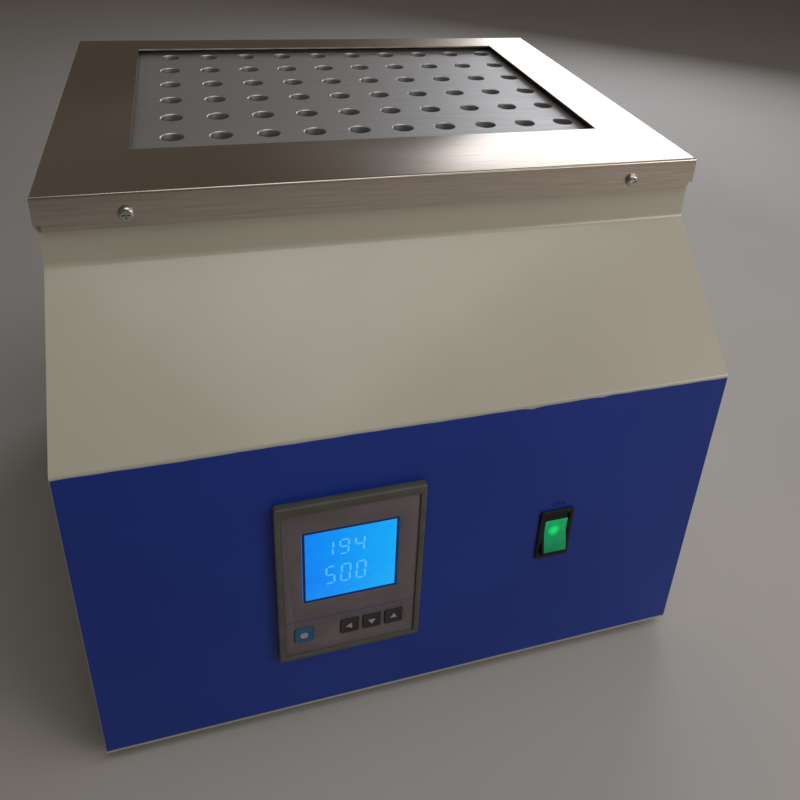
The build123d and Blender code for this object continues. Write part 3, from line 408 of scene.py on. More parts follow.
def glowing(name, low, high, axis, span, strength, rough, grain, spot=None):
    # lit plastic or glass: its glow runs from one colour to another along an axis
    body = [[0.12 * c for c in shade] for shade in (high, low)]
    material = grained(name, *body, 200.0, 2600.0, grain, rough, (0.05, 0.0001), Specular_IOR_Level=0.25)
    tree = material.node_tree
    principled = tree.nodes["Principled BSDF"]
    place = tree.nodes.new("ShaderNodeTexCoord").outputs["Object"]
    parts = tree.nodes.new("ShaderNodeSeparateXYZ")
    tree.links.new(place, parts.inputs[0])
    along = tree.nodes.new("ShaderNodeMapRange")
    along.inputs["From Min"].default_value, along.inputs["From Max"].default_value = span
    tree.links.new(parts.outputs["XYZ".index(axis)], along.inputs["Value"])
    cloud = noiseOn(tree, place, 90.0, 2.0)
    share = mathNode(
        tree,
        "ADD",
        along.outputs[0],
        mathNode(tree, "MULTIPLY", mathNode(tree, "SUBTRACT", cloud, 0.5), 0.5),
    )
    if spot:
        # a lamp behind the plastic: brightest at one place, fading with the distance from it
        away = tree.nodes.new("ShaderNodeVectorMath")
        away.operation = "DISTANCE"
        away.inputs[1].default_value = spot[:3]
        tree.links.new(place, away.inputs[0])
        fade = tree.nodes.new("ShaderNodeMapRange")
        fade.interpolation_type = "SMOOTHSTEP"
        fade.inputs["From Min"].default_value, fade.inputs["From Max"].default_value = spot[3]
        fade.inputs["To Min"].default_value, fade.inputs["To Max"].default_value = 1.0, 0.0
        tree.links.new(away.outputs["Value"], fade.inputs["Value"])
        share = mathNode(tree, "MAXIMUM", mathNode(tree, "MULTIPLY", share, 0.35), fade.outputs[0])
    tree.links.new(mixColours(tree, share, (*low, 1), (*high, 1)), principled.inputs["Emission Color"])
    principled.inputs["Emission Strength"].default_value = strength
    return material


lcdGlow = glowing(
    "lcdGlow",
    low=(0.001, 0.21, 0.92), high=(0.004, 0.42, 0.96),
    axis="X", span=(-0.085, -0.016), strength=0.93,
    rough=(0.12, 0.2), grain=0.05,
)
lcdEdge = glowing(
    "lcdEdge",
    low=(0.002, 0.020, 0.10), high=(0.003, 0.030, 0.15),
    axis="X", span=(-0.085, -0.016), strength=0.5,
    rough=(0.2, 0.3), grain=0.05,
)
digitGlow = glowing(
    "digitGlow",
    low=(0.06, 0.40, 0.97), high=(0.12, 0.53, 0.97),
    axis="X", span=(-0.085, -0.016), strength=1.0,
    rough=(0.3, 0.4), grain=0.05,
)
rockerGlow = glowing(
    "rockerGlow",
    low=(0.003, 0.085, 0.050), high=(0.010, 0.70, 0.17),
    axis="Z", span=(0.112, 0.150), strength=1.0,
    rough=(0.2, 0.3), grain=0.1,
    spot=(0.0965, -0.2175, 0.1385, (0.0005, 0.0075)),
)
switchInk = grained(
    "switchInk",
    light=(0.008, 0.012, 0.045), dark=(0.005, 0.008, 0.032),
    patch=150.0, grain=2600.0, amount=0.2,
    rough=(0.6, 0.7), bump=(0.05, 0.0001),
    Specular_IOR_Level=0.1,
)
print("block digester: materials ready")


# helpers for modelling
def clearSelection():
    if bpy.context.object and bpy.context.object.mode != "OBJECT":
        bpy.ops.object.mode_set(mode="OBJECT")
    bpy.ops.object.select_all(action="DESELECT")


def activate(piece):
    clearSelection()
    piece.select_set(True)
    bpy.context.view_layer.objects.active = piece


def applyPlace(piece):
    activate(piece)
    bpy.ops.object.transform_apply(location=True, rotation=True, scale=True)


def addBox(name, low, high):
    clearSelection()
    low, high = Vector(low) * mm, Vector(high) * mm
    bpy.ops.mesh.primitive_cube_add(size=1, location=(low + high) / 2, scale=high - low)
    piece = bpy.context.object
    piece.name = name
    piece.data.name = name
    applyPlace(piece)
    return piece


def addDisc(name, centre, radius, depth, axis="Z", sides=48):
    clearSelection()
    turn = {"Z": (0, 0, 0), "Y": (math.pi / 2, 0, 0), "X": (0, math.pi / 2, 0)}[axis]
    bpy.ops.mesh.primitive_cylinder_add(
        vertices=sides, radius=radius * mm, depth=depth * mm, location=Vector(centre) * mm, rotation=turn
    )
    piece = bpy.context.object
    piece.name = name
    piece.data.name = name
    applyPlace(piece)
    return piece


def addUpright(name, y, half, bottom, top):
    # an upright sheet facing the front, given in millimetres
    clearSelection()
    bpy.ops.mesh.primitive_plane_add(
        size=1, rotation=(math.pi / 2, 0, 0), location=(0, y * mm, (bottom + top) / 2 * mm)
    )
    piece = bpy.context.object
    piece.name = name
    piece.data.name = name
    piece.scale = (2 * half * mm, (top - bottom) * mm, 1)
    applyPlace(piece)
    return piece


def edit(piece):
    activate(piece)
    bpy.ops.object.mode_set(mode="EDIT")


def done():
    bpy.ops.object.mode_set(mode="OBJECT")


def pick(piece, kind, test):
    # in edit mode, selects what the test holds for
    mesh = bmesh.from_edit_mesh(piece.data)
    bpy.ops.mesh.select_mode(type=kind)
    bpy.ops.mesh.select_all(action="DESELECT")
    mesh = bmesh.from_edit_mesh(piece.data)
    group = {"VERT": mesh.verts, "EDGE": mesh.edges, "FACE": mesh.faces}[kind]
    for item in group:
        if test(item):
            item.select_set(True)
    bmesh.update_edit_mesh(piece.data)


def middle(edge):
    return (edge.verts[0].co + edge.verts[1].co) / 2


def addModifier(piece, kind, **settings):
    activate(piece)
    modifier = piece.modifiers.new(kind.lower(), kind)
    for label, value in settings.items():
        setattr(modifier, label, value)
    bpy.ops.object.modifier_apply(modifier=modifier.name)


def cutAway(piece, cutter, operation="DIFFERENCE"):
    addModifier(piece, "BOOLEAN", object=cutter, operation=operation, solver="EXACT")
    bpy.data.objects.remove(cutter)


def softenEdges(piece, width, angle=35, segments=2):
    addModifier(
        piece,
        "BEVEL",
        width=width * mm,
        segments=segments,
        limit_method="ANGLE",
        angle_limit=math.radians(angle),
        harden_normals=False,
    )


def smooth(piece, angle=30):
    activate(piece)
    bpy.ops.object.shade_smooth_by_angle(angle=math.radians(angle))


def joinPieces(name, pieces):
    clearSelection()
    for piece in pieces:
        piece.select_set(True)
    bpy.context.view_layer.objects.active = pieces[0]
    if len(pieces) > 1:
        bpy.ops.object.join()
    joined = bpy.context.object
    joined.name = name
    joined.data.name = name
    return joined


def fit(piece, body, material, slotName, *replaced):
    piece.data.materials.clear()
    piece.data.materials.append(material)
    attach(piece, body)
    if replaced:
        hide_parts(*replaced)
    return piece


# the two openings in the front, as x and z of the lower left and upper right corners
frontOpenings = {"controller": ((-95, 70.75), (-3, 205.25)), "switch": ((85.5, 114.4), (108.5, 156.4))}
coverScrew = {
    "x": 164, "z": 365.0, "head": 4.6, "height": 3.0, "shank": 2.1, "length": 6.5, "recess": 4.8
}


def cutFrontOpenings(piece):
    for (lowX, lowZ), (highX, highZ) in frontOpenings.values():
        cutAway(piece, addBox("cut", (lowX, -230, lowZ), (highX, -200, highZ)))


def faceForward(piece):
    if piece.data.polygons[0].normal.y > 0:
        edit(piece)
        bpy.ops.mesh.select_all(action="SELECT")
        bpy.ops.mesh.flip_normals()
        done()


# front sheet
frontSheet = {
    "halfWidth": 212,
    "front": -216,
    "bottom": 10,
    "fold": 254,
    "neck": (-125, 333),
    "shelf": 377.1,
    "shelfDepth": 18,
    "thickness": 1.5,
    "foldOffset": 1.1,
    "neckOffset": 2.2,
    "earNotch": (16.5, -123.4, -100, 374, 380),
    "screwHole": 2.3,
}
v = frontSheet


def atFold(e):
    x, y, z = middle(e) / mm
    atShelf = abs(z - v["shelf"]) < 0.1 and y < v["neck"][0] + 1
    return abs(x) < 0.1 and (abs(z - v["fold"]) < 0.1 or atShelf)


sheet = addUpright("frontSheet", v["front"], v["halfWidth"], v["bottom"], v["fold"])
edit(sheet)
pick(sheet, "EDGE", lambda e: middle(e).z > (v["fold"] - 1) * mm)
bpy.ops.mesh.extrude_region_move(
    TRANSFORM_OT_translate={
        "value": (0, (v["neck"][0] - v["front"]) * mm, (v["neck"][1] - v["fold"]) * mm)
    }
)
bpy.ops.mesh.extrude_region_move(
    TRANSFORM_OT_translate={"value": (0, 0, (v["shelf"] - v["neck"][1]) * mm)}
)
bpy.ops.mesh.extrude_region_move(TRANSFORM_OT_translate={"value": (0, v["shelfDepth"] * mm, 0)})
pick(sheet, "EDGE", lambda e: abs(middle(e).x) < 1e-4 and abs(middle(e).z - v["neck"][1] * mm) < 1e-4)
bpy.ops.mesh.bevel(offset=v["neckOffset"] * mm, segments=8)
pick(sheet, "EDGE", atFold)
bpy.ops.mesh.bevel(offset=v["foldOffset"] * mm, segments=6)
bpy.ops.mesh.select_all(action="SELECT")
bpy.ops.mesh.normals_make_consistent(inside=False)
done()
faceForward(sheet)
addModifier(sheet, "SOLIDIFY", thickness=v["thickness"] * mm, offset=-1, use_even_offset=True)
cutFrontOpenings(sheet)
for side in (-1, 1):
    half, front, back, low, high = v["earNotch"]
    x = side * v["halfWidth"]
    cutAway(sheet, addBox("cut", (x - half, front, low), (x + half, back, high)))
    hole = (side * coverScrew["x"], v["neck"][0] + 1, coverScrew["z"])
    cutAway(sheet, addDisc("cut", hole, v["screwHole"], 8, "Y", 16))
smooth(sheet, 40)
fit(sheet, "chassis", creamPaint, "cream_paint", "front_fascia")
print("block digester: front sheet")


# blue field on the vertical wall
blueField = {
    "half": 211.5,
    "bottom": 12.5,
    "top": 252.6,
    "back": -216.0,
    "proud": 0.4,
    "steps": 84,
    "wave": 0.22,
    "nicks": ((67, 4.0, 1.1), (118, 3.0, 0.8), (-30, 3.0, 0.5)),
}
v = blueField
field = addUpright("blueField", v["back"] - v["proud"], v["half"], v["bottom"], v["top"])
edit(field)
pick(field, "EDGE", lambda e: abs(e.verts[0].co.z - e.verts[1].co.z) < 1e-6)
bpy.ops.mesh.subdivide(number_cuts=v["steps"])
mesh = bmesh.from_edit_mesh(field.data)
for vert in mesh.verts:
    if vert.co.z > (v["top"] - 1) * mm:
        x = vert.co.x / mm
        dip = v["wave"] * (
            math.sin(x * 0.031) + 0.6 * math.sin(x * 0.083 + 1.2) + 0.5 * math.sin(x * 0.29)
        )
        for nick, width, depth in v["nicks"]:
            dip += depth * math.exp(-((x - nick) / width) ** 2)
        vert.co.z -= (dip + 0.3) * mm
bmesh.update_edit_mesh(field.data)
done()
faceForward(field)
addModifier(field, "SOLIDIFY", thickness=v["proud"] * mm, offset=-1)
cutFrontOpenings(field)
smooth(field, 30)
fit(field, "chassis", bluePaint, "blue_film", "front_film")
print("block digester: blue field")


# stainless cover
cover = {
    "low": (-213.5, -128.0, 356.5),
    "high": (213.5, 213.5, 378.5),
    "fold": 1.8,
    "sheet": 1.2,
    "windowLow": (-163.0, -61.2),
    "windowHigh": (167.0, 181.8),
    "windowCorner": 1.0,
    "notch": 4.0,
    "screwHole": 2.35,
}
v = cover
lid = addBox("topCover", v["low"], v["high"])
edit(lid)
pick(lid, "FACE", lambda f: f.normal.z < -0.5)
bpy.ops.mesh.delete(type="FACE")
pick(lid, "EDGE", lambda e: all(p.co.z > (v["high"][2] - 0.1) * mm for p in e.verts))
bpy.ops.mesh.bevel(offset=v["fold"] * mm, segments=6)
bpy.ops.mesh.select_all(action="SELECT")
bpy.ops.mesh.remove_doubles(threshold=1e-6)
bpy.ops.mesh.normals_make_consistent(inside=False)
done()
addModifier(lid, "SOLIDIFY", thickness=v["sheet"] * mm, offset=-1, use_even_offset=True)
hole = addBox("cut", (*v["windowLow"], 370), (*v["windowHigh"], 385))
softenEdges(hole, v["windowCorner"], 35, 3)
cutAway(lid, hole)
for x in (v["low"][0], v["high"][0]):
    for y in (v["low"][1], v["high"][1]):
        n = v["notch"]
        cutAway(lid, addBox("cut", (x - n, y - n, v["low"][2] - 1), (x + n, y + n, v["low"][2] + n)))
for x in (-coverScrew["x"], coverScrew["x"]):
    for y in (v["low"][1], v["high"][1]):
        cutAway(lid, addDisc("cut", (x, y, coverScrew["z"]), v["screwHole"], 8, "Y", 24))
smooth(lid, 32)
fit(lid, "chassis", stainless, "stainless", "top_cover")
print("block digester: cover")


# block with its wells
block = {
    "columns": 10,
    "rows": 6,
    "pitch": (32.5, 40.0),
    "first": (-137.25, -27.2),
    "radius": 7.5,
    "chamfer": 0.6,
    "top": 372.9,
    "depth": 62.0,
    "margins": (31.0, 37.0, 31.0, 27.0),
    "edge": 0.8,
}
v = block
clearSelection()
centre = Vector((v["first"][0], v["first"][1], v["top"])) * mm
bpy.ops.mesh.primitive_grid_add(x_subdivisions=16, y_subdivisions=16, size=1, location=centre)
wells = bpy.context.object
wells.name = "wellBlock"
wells.scale = (v["pitch"][0] * mm, v["pitch"][1] * mm, 1)
applyPlace(wells)
halfX, halfY = v["pitch"][0] / 2 * mm, v["pitch"][1] / 2 * mm


def onRim(co):
    return abs(abs(co.x - centre.x) - halfX) < 1e-6 or abs(abs(co.y - centre.y) - halfY) < 1e-6


def fromAxis(co):
    return math.hypot(co.x - centre.x, co.y - centre.y)


edit(wells)
pick(wells, "VERT", lambda p: not onRim(p.co))
bpy.ops.mesh.delete(type="VERT")
bpy.ops.mesh.primitive_circle_add(
    vertices=64, radius=(v["radius"] + v["chamfer"]) * mm, location=centre, rotation=(0, 0, 0)
)
bpy.ops.mesh.select_mode(type="EDGE")
bpy.ops.mesh.select_all(action="SELECT")
bpy.ops.mesh.bridge_edge_loops()
pick(
    wells,
    "EDGE",
    lambda e: all(fromAxis(p.co) < (v["radius"] + v["chamfer"] + 0.05) * mm for p in e.verts),
)
bpy.ops.mesh.extrude_region_move(TRANSFORM_OT_translate={"value": (0, 0, -v["chamfer"] * mm)})
share = v["radius"] / (v["radius"] + v["chamfer"])
bpy.ops.transform.resize(value=(share, share, 1), center_override=centre)
bpy.ops.mesh.extrude_region_move(
    TRANSFORM_OT_translate={"value": (0, 0, -(v["depth"] - v["chamfer"]) * mm)}
)
pick(wells, "EDGE", lambda e: all(onRim(p.co) for p in e.verts) and e.is_boundary)
bpy.ops.mesh.duplicate_move(TRANSFORM_OT_translate={"value": (0, 0, -v["depth"] * mm)})
low = (v["top"] - v["depth"] + 0.01) * mm
pick(wells, "EDGE", lambda e: all(p.co.z < low for p in e.verts) and (len(e.link_faces) < 2))
bpy.ops.mesh.bridge_edge_loops()
done()
for count, step in (
    (v["columns"], (v["pitch"][0] * mm, 0, 0)),
    (v["rows"], (0, v["pitch"][1] * mm, 0)),
):
    addModifier(
        wells,
        "ARRAY",
        count=count,
        use_relative_offset=False,
        use_constant_offset=True,
        constant_offset_displace=step,
        use_merge_vertices=True,
        merge_threshold=1e-5,
    )
lowX, lowY = (v["first"][0] - v["pitch"][0] / 2) * mm, (v["first"][1] - v["pitch"][1] / 2) * mm
highX, highY = lowX + v["columns"] * v["pitch"][0] * mm, lowY + v["rows"] * v["pitch"][1] * mm
edit(wells)
blockSides = (
    (0, lowX, v["pitch"][0] / 2 - v["margins"][0]),
    (0, highX, v["margins"][2] - v["pitch"][0] / 2),
    (1, lowY, v["pitch"][1] / 2 - v["margins"][1]),
    (1, highY, v["margins"][3] - v["pitch"][1] / 2),
)
for axis, edge, step in blockSides:
    pick(wells, "EDGE", lambda e: e.is_boundary and all(abs(p.co[axis] - edge) < 1e-5 for p in e.verts))
    bpy.ops.mesh.extrude_region_move(
        TRANSFORM_OT_translate={"value": [step * mm if i == axis else 0 for i in range(3)]}
    )
pick(wells, "EDGE", lambda e: e.is_boundary)
bpy.ops.mesh.bridge_edge_loops()
outLowX, outLowY = v["first"][0] - v["margins"][0], v["first"][1] - v["margins"][1]
outHighX = v["first"][0] + (v["columns"] - 1) * v["pitch"][0] + v["margins"][2]
outHighY = v["first"][1] + (v["rows"] - 1) * v["pitch"][1] + v["margins"][3]
bpy.ops.mesh.select_all(action="SELECT")
bpy.ops.mesh.remove_doubles(threshold=1e-6)
bpy.ops.mesh.normals_make_consistent(inside=False)
outerSides = ((0, outLowX), (0, outHighX), (1, outLowY), (1, outHighY))


def outerTop(e):
    ends = [p.co for p in e.verts]
    if not all(abs(co.z - v["top"] * mm) < 1e-6 for co in ends):
        return False
    return any(all(abs(co[axis] - side * mm) < 1e-5 for co in ends) for axis, side in outerSides)


pick(wells, "EDGE", outerTop)
bpy.ops.mesh.bevel(offset=v["edge"] * mm, segments=2)
done()
smooth(wells, 30)
fit(wells, "chassis", blockAluminium, "aluminium", "heating_block")
print("block digester: block")


# controller
controller = {
    "centre": (-49.0, 138.0),
    "size": (96.0, 139.0),
    "opening": (88.0, 128.6),
    "openingDrop": 1.2,
    "back": -216.4,
    "front": -222.0,
    "edge": 1.0,
    "corner": 2.0,
    "openingCorner": 0.6,
    "faceFront": -221.0,
    "faceBack": -219.0,
    "fit": 0.15,
    "lcd": (-0.2, 14.6, 62.4, 62.8),
    "keys": {"set_key": -31.3, "shift_key": -0.7, "down_key": 14.4, "up_key": 29.5},
    "keyRow": -46.4,
    "keySize": 12.2,
    "keyFront": -221.9,
    "keyBack": -218.8,
    "keyCorner": 0.8,
    "keyInset": 0.7,
    "keyDish": 0.18,
    "keyLip": (1.8, -217.6),
    "keyGap": 0.4,
    "lcdGap": 0.3,
    "lcdFront": -220.5,
    "lcdFrame": (1.7, 0.12),
    "line": (33, 87.4, 0.7, 0.05),
    "mark": {"thickness": 0.12, "sink": 0.16, "arrow": 2.9, "dot": 2.7},
}
v = controller
cx, cz = v["centre"]
faceZ = cz - v["openingDrop"]


def panelBox(name, x, z, width, height, front, back):
    return addBox(name, (x - width / 2, front, z - height / 2), (x + width / 2, back, z + height / 2))


bezel = panelBox("controllerBezel", cx, cz, *v["size"], v["front"], v["back"])
edit(bezel)
pick(bezel, "EDGE", lambda e: abs(e.verts[0].co.y - e.verts[1].co.y) > 1 * mm)
bpy.ops.mesh.bevel(offset=v["corner"] * mm, segments=5)
pick(bezel, "EDGE", lambda e: all(p.co.y < (v["front"] + 0.1) * mm for p in e.verts))
bpy.ops.mesh.bevel(offset=v["edge"] * mm, segments=3)
done()
opening = panelBox("cut", cx, faceZ, *v["opening"], v["front"] - 5, v["back"] + 5)
edit(opening)
pick(opening, "EDGE", lambda e: abs(e.verts[0].co.y - e.verts[1].co.y) > 5 * mm)
bpy.ops.mesh.bevel(offset=v["openingCorner"] * mm, segments=3)
done()
cutAway(bezel, opening)
softenEdges(bezel, 0.25, 50, 2)
smooth(bezel, 35)
fit(bezel, "chassis", olivePlastic, "olive_plastic", "controller_bezel")

facePlate = panelBox(
    "facePlate",
    cx,
    faceZ,
    v["opening"][0] - 2 * v["fit"],
    v["opening"][1] - 2 * v["fit"],
    v["faceFront"],
    v["faceBack"],
)
lcdX, lcdZ, lcdWidth, lcdHeight = cx + v["lcd"][0], cz + v["lcd"][1], v["lcd"][2], v["lcd"][3]
cutAway(
    facePlate, panelBox("cut", lcdX, lcdZ, lcdWidth + v["lcdGap"], lcdHeight + v["lcdGap"], -225, -215)
)
for x in v["keys"].values():
    wide = v["keySize"] + v["keyGap"]
    hole = panelBox("cut", cx + x, cz + v["keyRow"], wide, wide, -225, -215)
    softenEdges(hole, v["keyCorner"], 35, 3)
    cutAway(facePlate, hole)
softenEdges(facePlate, 0.2, 50, 2)
smooth(facePlate, 35)
fit(facePlate, "chassis", mauvePlastic, "mauve_plastic", "controller_face")

lcd = panelBox("lcdPanel", lcdX, lcdZ, lcdWidth, lcdHeight, v["lcdFront"], v["back"])
softenEdges(lcd, 0.3, 35, 2)
smooth(lcd, 35)
fit(lcd, "chassis", lcdGlow, "display", "lcd_window")

border, proud = v["lcdFrame"]
frameWidth, frameHeight = lcdWidth - 0.2, lcdHeight - 0.2
rim = panelBox("lcdFrame", lcdX, lcdZ, frameWidth, frameHeight, v["lcdFront"] - proud, v["lcdFront"])
cutAway(rim, panelBox("cut", lcdX, lcdZ, frameWidth - 2 * border, frameHeight - 2 * border, -222, -219))
fit(rim, "chassis", lcdEdge, "display")

# seven-segment digits, every bar made in the same steps
digits = {
    "width": 5.6,
    "bar": 1.3,
    "cut": 0.42,
    "gap": 1.3,
    "lean": 0.06,
    "proud": 0.1,
    "rows": (("194", -17.8, 22.4, 12.2), ("500", -16.8, -2.6, 15.0)),
    "pitch": 10.0,
}
segmentsLit = {"0": "abcdef", "1": "bc", "4": "bcfg", "5": "acdfg", "9": "abcdfg"}
d = digits


def bar(x, z, length, upright):
    w, h = (d["bar"], length) if upright else (length, d["bar"])
    piece = panelBox("bar", x, z, w, h, v["lcdFront"] - d["proud"], v["lcdFront"])
    edit(piece)
    pick(piece, "EDGE", lambda e: abs(e.verts[0].co.y - e.verts[1].co.y) > 0.05 * mm)
    bpy.ops.mesh.bevel(offset=d["cut"] * mm, segments=1)
    done()
    return piece


bars = []
for text, left, bottom, h in d["rows"]:
    for i, sign in enumerate(text):
        x0, z0 = cx + left + i * d["pitch"], cz + bottom
        w = d["width"]
        places = {
            "a": (x0 + w / 2, z0 + h, w, False),
            "g": (x0 + w / 2, z0 + h / 2, w, False),
            "d": (x0 + w / 2, z0, w, False),
            "f": (x0, z0 + h * 0.75, h / 2, True),
            "b": (x0 + w, z0 + h * 0.75, h / 2, True),
            "e": (x0, z0 + h * 0.25, h / 2, True),
            "c": (x0 + w, z0 + h * 0.25, h / 2, True),
        }
        for label in segmentsLit[sign]:
            x, z, length, upright = places[label]
            bars.append(bar(x + (z - z0) * d["lean"], z, length - d["gap"], upright))
fit(joinPieces("lcdDigits", bars), "chassis", digitGlow, "display")

drop, width, height, proud = v["line"]
line = panelBox("separatorLine", cx, cz - drop, width, height, v["faceFront"] - proud, v["faceFront"])
fit(line, "chassis", thinLine, "mauve_plastic")


def keyCap(name, x, material, slotName):
    cap = panelBox(
        name, cx + x, cz + v["keyRow"], v["keySize"], v["keySize"], v["keyFront"], v["keyBack"]
    )
    edit(cap)
    pick(cap, "EDGE", lambda e: abs(e.verts[0].co.y - e.verts[1].co.y) > 1 * mm)
    bpy.ops.mesh.bevel(offset=v["keyCorner"] * mm, segments=4)
    pick(cap, "FACE", lambda f: f.normal.y < -0.9)
    bpy.ops.mesh.inset(thickness=v["keyInset"] * mm)
    bpy.ops.transform.translate(value=(0, v["keyDish"] * mm, 0))
    done()
    extra, lipBack = v["keyLip"]
    wide = v["keySize"] + extra
    flange = panelBox("lip", cx + x, cz + v["keyRow"], wide, wide, v["keyBack"], lipBack)
    cap = joinPieces(name, [cap, flange])
    softenEdges(cap, 0.18, 40, 2)
    smooth(cap, 40)
    return fit(cap, name.replace("Cap", "_key"), material, slotName, name.replace("Cap", "_key"))


def arrow(name, x, turn, body):
    clearSelection()
    mark = v["mark"]
    place = Vector((cx + x, v["keyFront"] + mark["sink"], cz + v["keyRow"])) * mm
    bpy.ops.mesh.primitive_cylinder_add(
        vertices=3,
        radius=mark["arrow"] * mm,
        depth=mark["thickness"] * mm,
        location=place,
        rotation=(math.pi / 2, turn, 0),
    )
    piece = bpy.context.object
    piece.name = name
    applyPlace(piece)
    return fit(piece, body, paleMark, "dark_key")


keyCap("setCap", v["keys"]["set_key"], blueKeyPlastic, "blue_key")
keyCap("shiftCap", v["keys"]["shift_key"], darkKeyPlastic, "dark_key")
keyCap("downCap", v["keys"]["down_key"], darkKeyPlastic, "dark_key")
keyCap("upCap", v["keys"]["up_key"], darkKeyPlastic, "dark_key")
arrow("shiftArrow", v["keys"]["shift_key"], math.radians(-90), "shift_key")
arrow("downArrow", v["keys"]["down_key"], math.radians(180), "down_key")
arrow("upArrow", v["keys"]["up_key"], 0, "up_key")
mark = v["mark"]
dotPlace = (cx + v["keys"]["set_key"], v["keyFront"] + mark["sink"], cz + v["keyRow"])
dot = addDisc("setDot", dotPlace, mark["dot"], mark["thickness"], "Y", 32)
fit(dot, "set_key", paleMark, "blue_key")
print("block digester: controller")


# power switch
switch = {
    "x": 97.0,
    "z": 135.4,
    "flange": (25.5, 45.0),
    "front": -218.2,
    "back": -216.4,
    "corner": 2.0,
    "edge": 0.9,
    "body": (22.0, 41.0, -190),
    "well": (19.6, 37.8, -201),
    "tab": (5.5, 6.83, 0.8, 6.3, -181.4),
    "pivot": -211.0,
    "radius": 18.6,
    "swing": 16.0,
    "brow": 5.8,
    "width": 19.0,
    "keel": 6.0,
    "pin": (1.5, 1.0, 0.06),
    "lensWidth": 16.8,
    "lensShift": 0.7,
    "lensBottom": -15.2,
    "lensTop": 11.6,
    "lensProud": 0.25,
}
v = switch
housing = panelBox("switchHousing", v["x"], v["z"], *v["flange"], v["front"], v["back"])
edit(housing)
pick(housing, "EDGE", lambda e: abs(e.verts[0].co.y - e.verts[1].co.y) > 1 * mm)
bpy.ops.mesh.bevel(offset=v["corner"] * mm, segments=5)
pick(housing, "EDGE", lambda e: all(p.co.y < (v["front"] + 0.1) * mm for p in e.verts))
bpy.ops.mesh.bevel(offset=v["edge"] * mm, segments=4)
done()
bodyWidth, bodyHeight, bodyBack = v["body"]
cutAway(housing, panelBox("body", v["x"], v["z"], bodyWidth, bodyHeight, -217, bodyBack), "UNION")
wellWidth, wellHeight, wellBack = v["well"]
cutAway(housing, panelBox("cut", v["x"], v["z"], wellWidth, wellHeight, -225, wellBack))
pinRadius, pinLength, pinFit = v["pin"]
cutAway(
    housing,
    addDisc("cut", (v["x"], v["pivot"], v["z"]), pinRadius + pinFit, wellWidth + 2 * pinLength, "X", 32),
)
tabX, tabZ, tabThickness, tabWidth, tabEnd = v["tab"]
tabs = []
for side in (-1, 1):
    for level in (-1, 1):
        x, z = v["x"] + side * tabX, v["z"] + level * tabZ
        tabs.append(panelBox("tab", x, z, tabThickness, tabWidth, bodyBack - 0.2, tabEnd))
softenEdges(housing, 0.25, 50, 2)
housing = joinPieces("switchHousing", [housing] + tabs)
smooth(housing, 35)
fit(housing, "chassis", blackPlastic, "black_plastic", "switch_housing")

# rocker: a drum whose front is cut to two flats, made level and then tilted to ON
rise = math.tan(math.radians(v["swing"] / 2))


def rockerDrum(name, x, width, brow, keel):
    drum = addDisc(name, (x, v["pivot"], v["z"]), v["radius"], width, "X", 96)
    front = addBox(
        "cut", (x - 20, v["pivot"] - 60, v["z"] - 60), (x + 20, v["pivot"] - brow, v["z"] + 60)
    )
    edit(front)
    near = (v["pivot"] - 10) * mm
    pick(front, "EDGE", lambda e: abs(e.verts[0].co.z - e.verts[1].co.z) > 50 * mm and middle(e).y > near)
    bpy.ops.mesh.subdivide(number_cuts=1)
    pick(front, "VERT", lambda p: abs(p.co.z - v["z"] * mm) > 50 * mm and p.co.y > near)
    bpy.ops.transform.translate(value=(0, -60 * rise * mm, 0))
    done()
    cutAway(drum, front)
    cutAway(
        drum,
        addBox("cut", (x - 20, v["pivot"] + keel, v["z"] - 40), (x + 20, v["pivot"] + 40, v["z"] + 40)),
    )
    return drum


def tilt(piece):
    edit(piece)
    bpy.ops.mesh.select_all(action="SELECT")
    bpy.ops.transform.rotate(
        value=math.radians(v["swing"] / 2),
        orient_axis="X",
        center_override=(v["x"] * mm, v["pivot"] * mm, v["z"] * mm),
    )
    done()


rocker = rockerDrum("rockerCap", v["x"], v["width"], v["brow"], v["keel"])
tilt(rocker)
softenEdges(rocker, 0.5, 20, 3)
pins = addDisc("pins", (v["x"], v["pivot"], v["z"]), pinRadius, v["width"] + 2 * pinLength, "X", 32)
cutAway(rocker, pins, "UNION")
smooth(rocker, 25)
fit(rocker, "power_rocker", blackPlastic, "black_plastic", "power_rocker")

# its lit lens, a little proud of the black body
lensX = v["x"] + v["lensShift"]
lens = rockerDrum("rockerLens", lensX, v["lensWidth"], v["brow"] + v["lensProud"], 1.0 - v["brow"])
for low, high in ((-60, v["lensBottom"]), (v["lensTop"], 60)):
    cutAway(
        lens,
        addBox(
            "cut",
            (lensX - 20, v["pivot"] - 40, v["z"] + low),
            (lensX + 20, v["pivot"] + 40, v["z"] + high),
        ),
    )
tilt(lens)
softenEdges(lens, 0.2, 20, 2)
smooth(lens, 25)
fit(lens, "power_rocker", rockerGlow, "green_rocker")

# the word ON above the switch
onSign = {"size": 6.0, "rise": 27.6, "front": -216.42, "thickness": 0.04}
clearSelection()
bpy.ops.object.text_add(
    location=Vector((v["x"], onSign["front"], v["z"] + onSign["rise"])) * mm,
    rotation=(math.pi / 2, 0, 0),
)
sign = bpy.context.object
sign.name = "switchSign"
sign.data.body = "ON"
sign.data.size = onSign["size"] * mm
sign.data.align_x = "CENTER"
sign.data.align_y = "CENTER"
sign.data.resolution_u = 4
sign.data.extrude = onSign["thickness"] / 2 * mm
bpy.ops.object.convert(target="MESH")
sign = bpy.context.object
sign.data.name = "switchSign"
applyPlace(sign)
fit(sign, "chassis", switchInk, "blue_film")
print("block digester: switch")


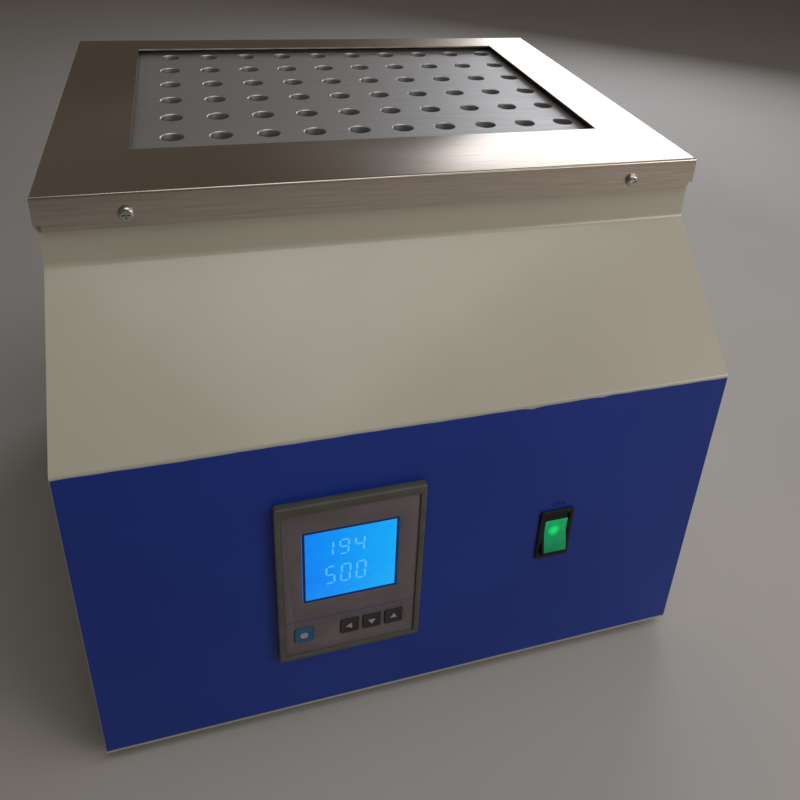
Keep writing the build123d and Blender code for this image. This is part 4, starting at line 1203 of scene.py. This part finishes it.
# screws
def panScrew(x, y, z, facing, head, height, shank, length, recess):
    # a pan head with a cross recess; facing is +1 or -1 along Y
    top = addDisc("screw", (x, y + facing * height / 2, z), head, height, "Y", 32)
    edit(top)
    pick(
        top,
        "EDGE",
        lambda e: all((p.co.y - (y + facing * (height - 0.05)) * mm) * facing > 0 for p in e.verts),
    )
    bpy.ops.mesh.bevel(offset=height * 0.62 * mm, segments=5)
    done()
    for wide, tall in ((recess, 0.9), (0.9, recess)):
        cutAway(
            top,
            addBox(
                "cut",
                (x - wide / 2, y + facing * height - 1.5, z - tall / 2),
                (x + wide / 2, y + facing * height + 1.5, z + tall / 2),
            ),
        )
    stem = addDisc("stem", (x, y - facing * (length - 0.2) / 2, z), shank, length + 0.2, "Y", 16)
    piece = joinPieces("screw", [top, stem])
    smooth(piece, 40)
    return piece


screws = []
for x in (-coverScrew["x"], coverScrew["x"]):
    for y, facing in ((cover["low"][1], -1), (cover["high"][1], 1)):
        screws.append(panScrew(**{**coverScrew, "x": x}, y=y, facing=facing))
fit(joinPieces("coverScrews", screws), "chassis", plainSteel, "steel", "cover_screws")
print("block digester: screws")


# finishes of the carried-over nodes
plain = {
    creamPaint: ["side_panel_left", "side_panel_right", "rear_panel"],
    zincSheet: ["base_pan", "support_tray"],
    castAluminium: ["heater_plate", "relay_heatsink"],
    fibreBoard: [
        "insulation_bottom", "insulation_front", "insulation_rear", "insulation_left", "insulation_right"
    ],
    ceramicPost: ["block_standoffs", "heater_terminals"],
    plainSteel: [
        "block_bolts",
        "thermal_cutout",
        "temperature_probe",
        "rear_screws",
        "side_screws",
        "feet_screws",
        "inlet_screws",
        "relay_screws",
        "pan_screws",
    ],
    blackPlastic: [
        "controller_case",
        "controller_clamps",
        "power_inlet",
        "fuse_holder",
        "fuse_cap",
        "relay",
        "terminal_block",
    ],
    footRubber: ["feet"],
    brassMetal: ["earth_stud", "earth_nut"],
}
for material, names in plain.items():
    for name in names:
        nodes[name].data.materials.clear()
        nodes[name].data.materials.append(material)

clearSelection()
bpy.ops.mesh.primitive_plane_add(size=8, location=(0, 0, 0))
floor = bpy.context.object
floor.name = "floor"
floor.data.materials.append(floorPaint)

print("block digester: done")
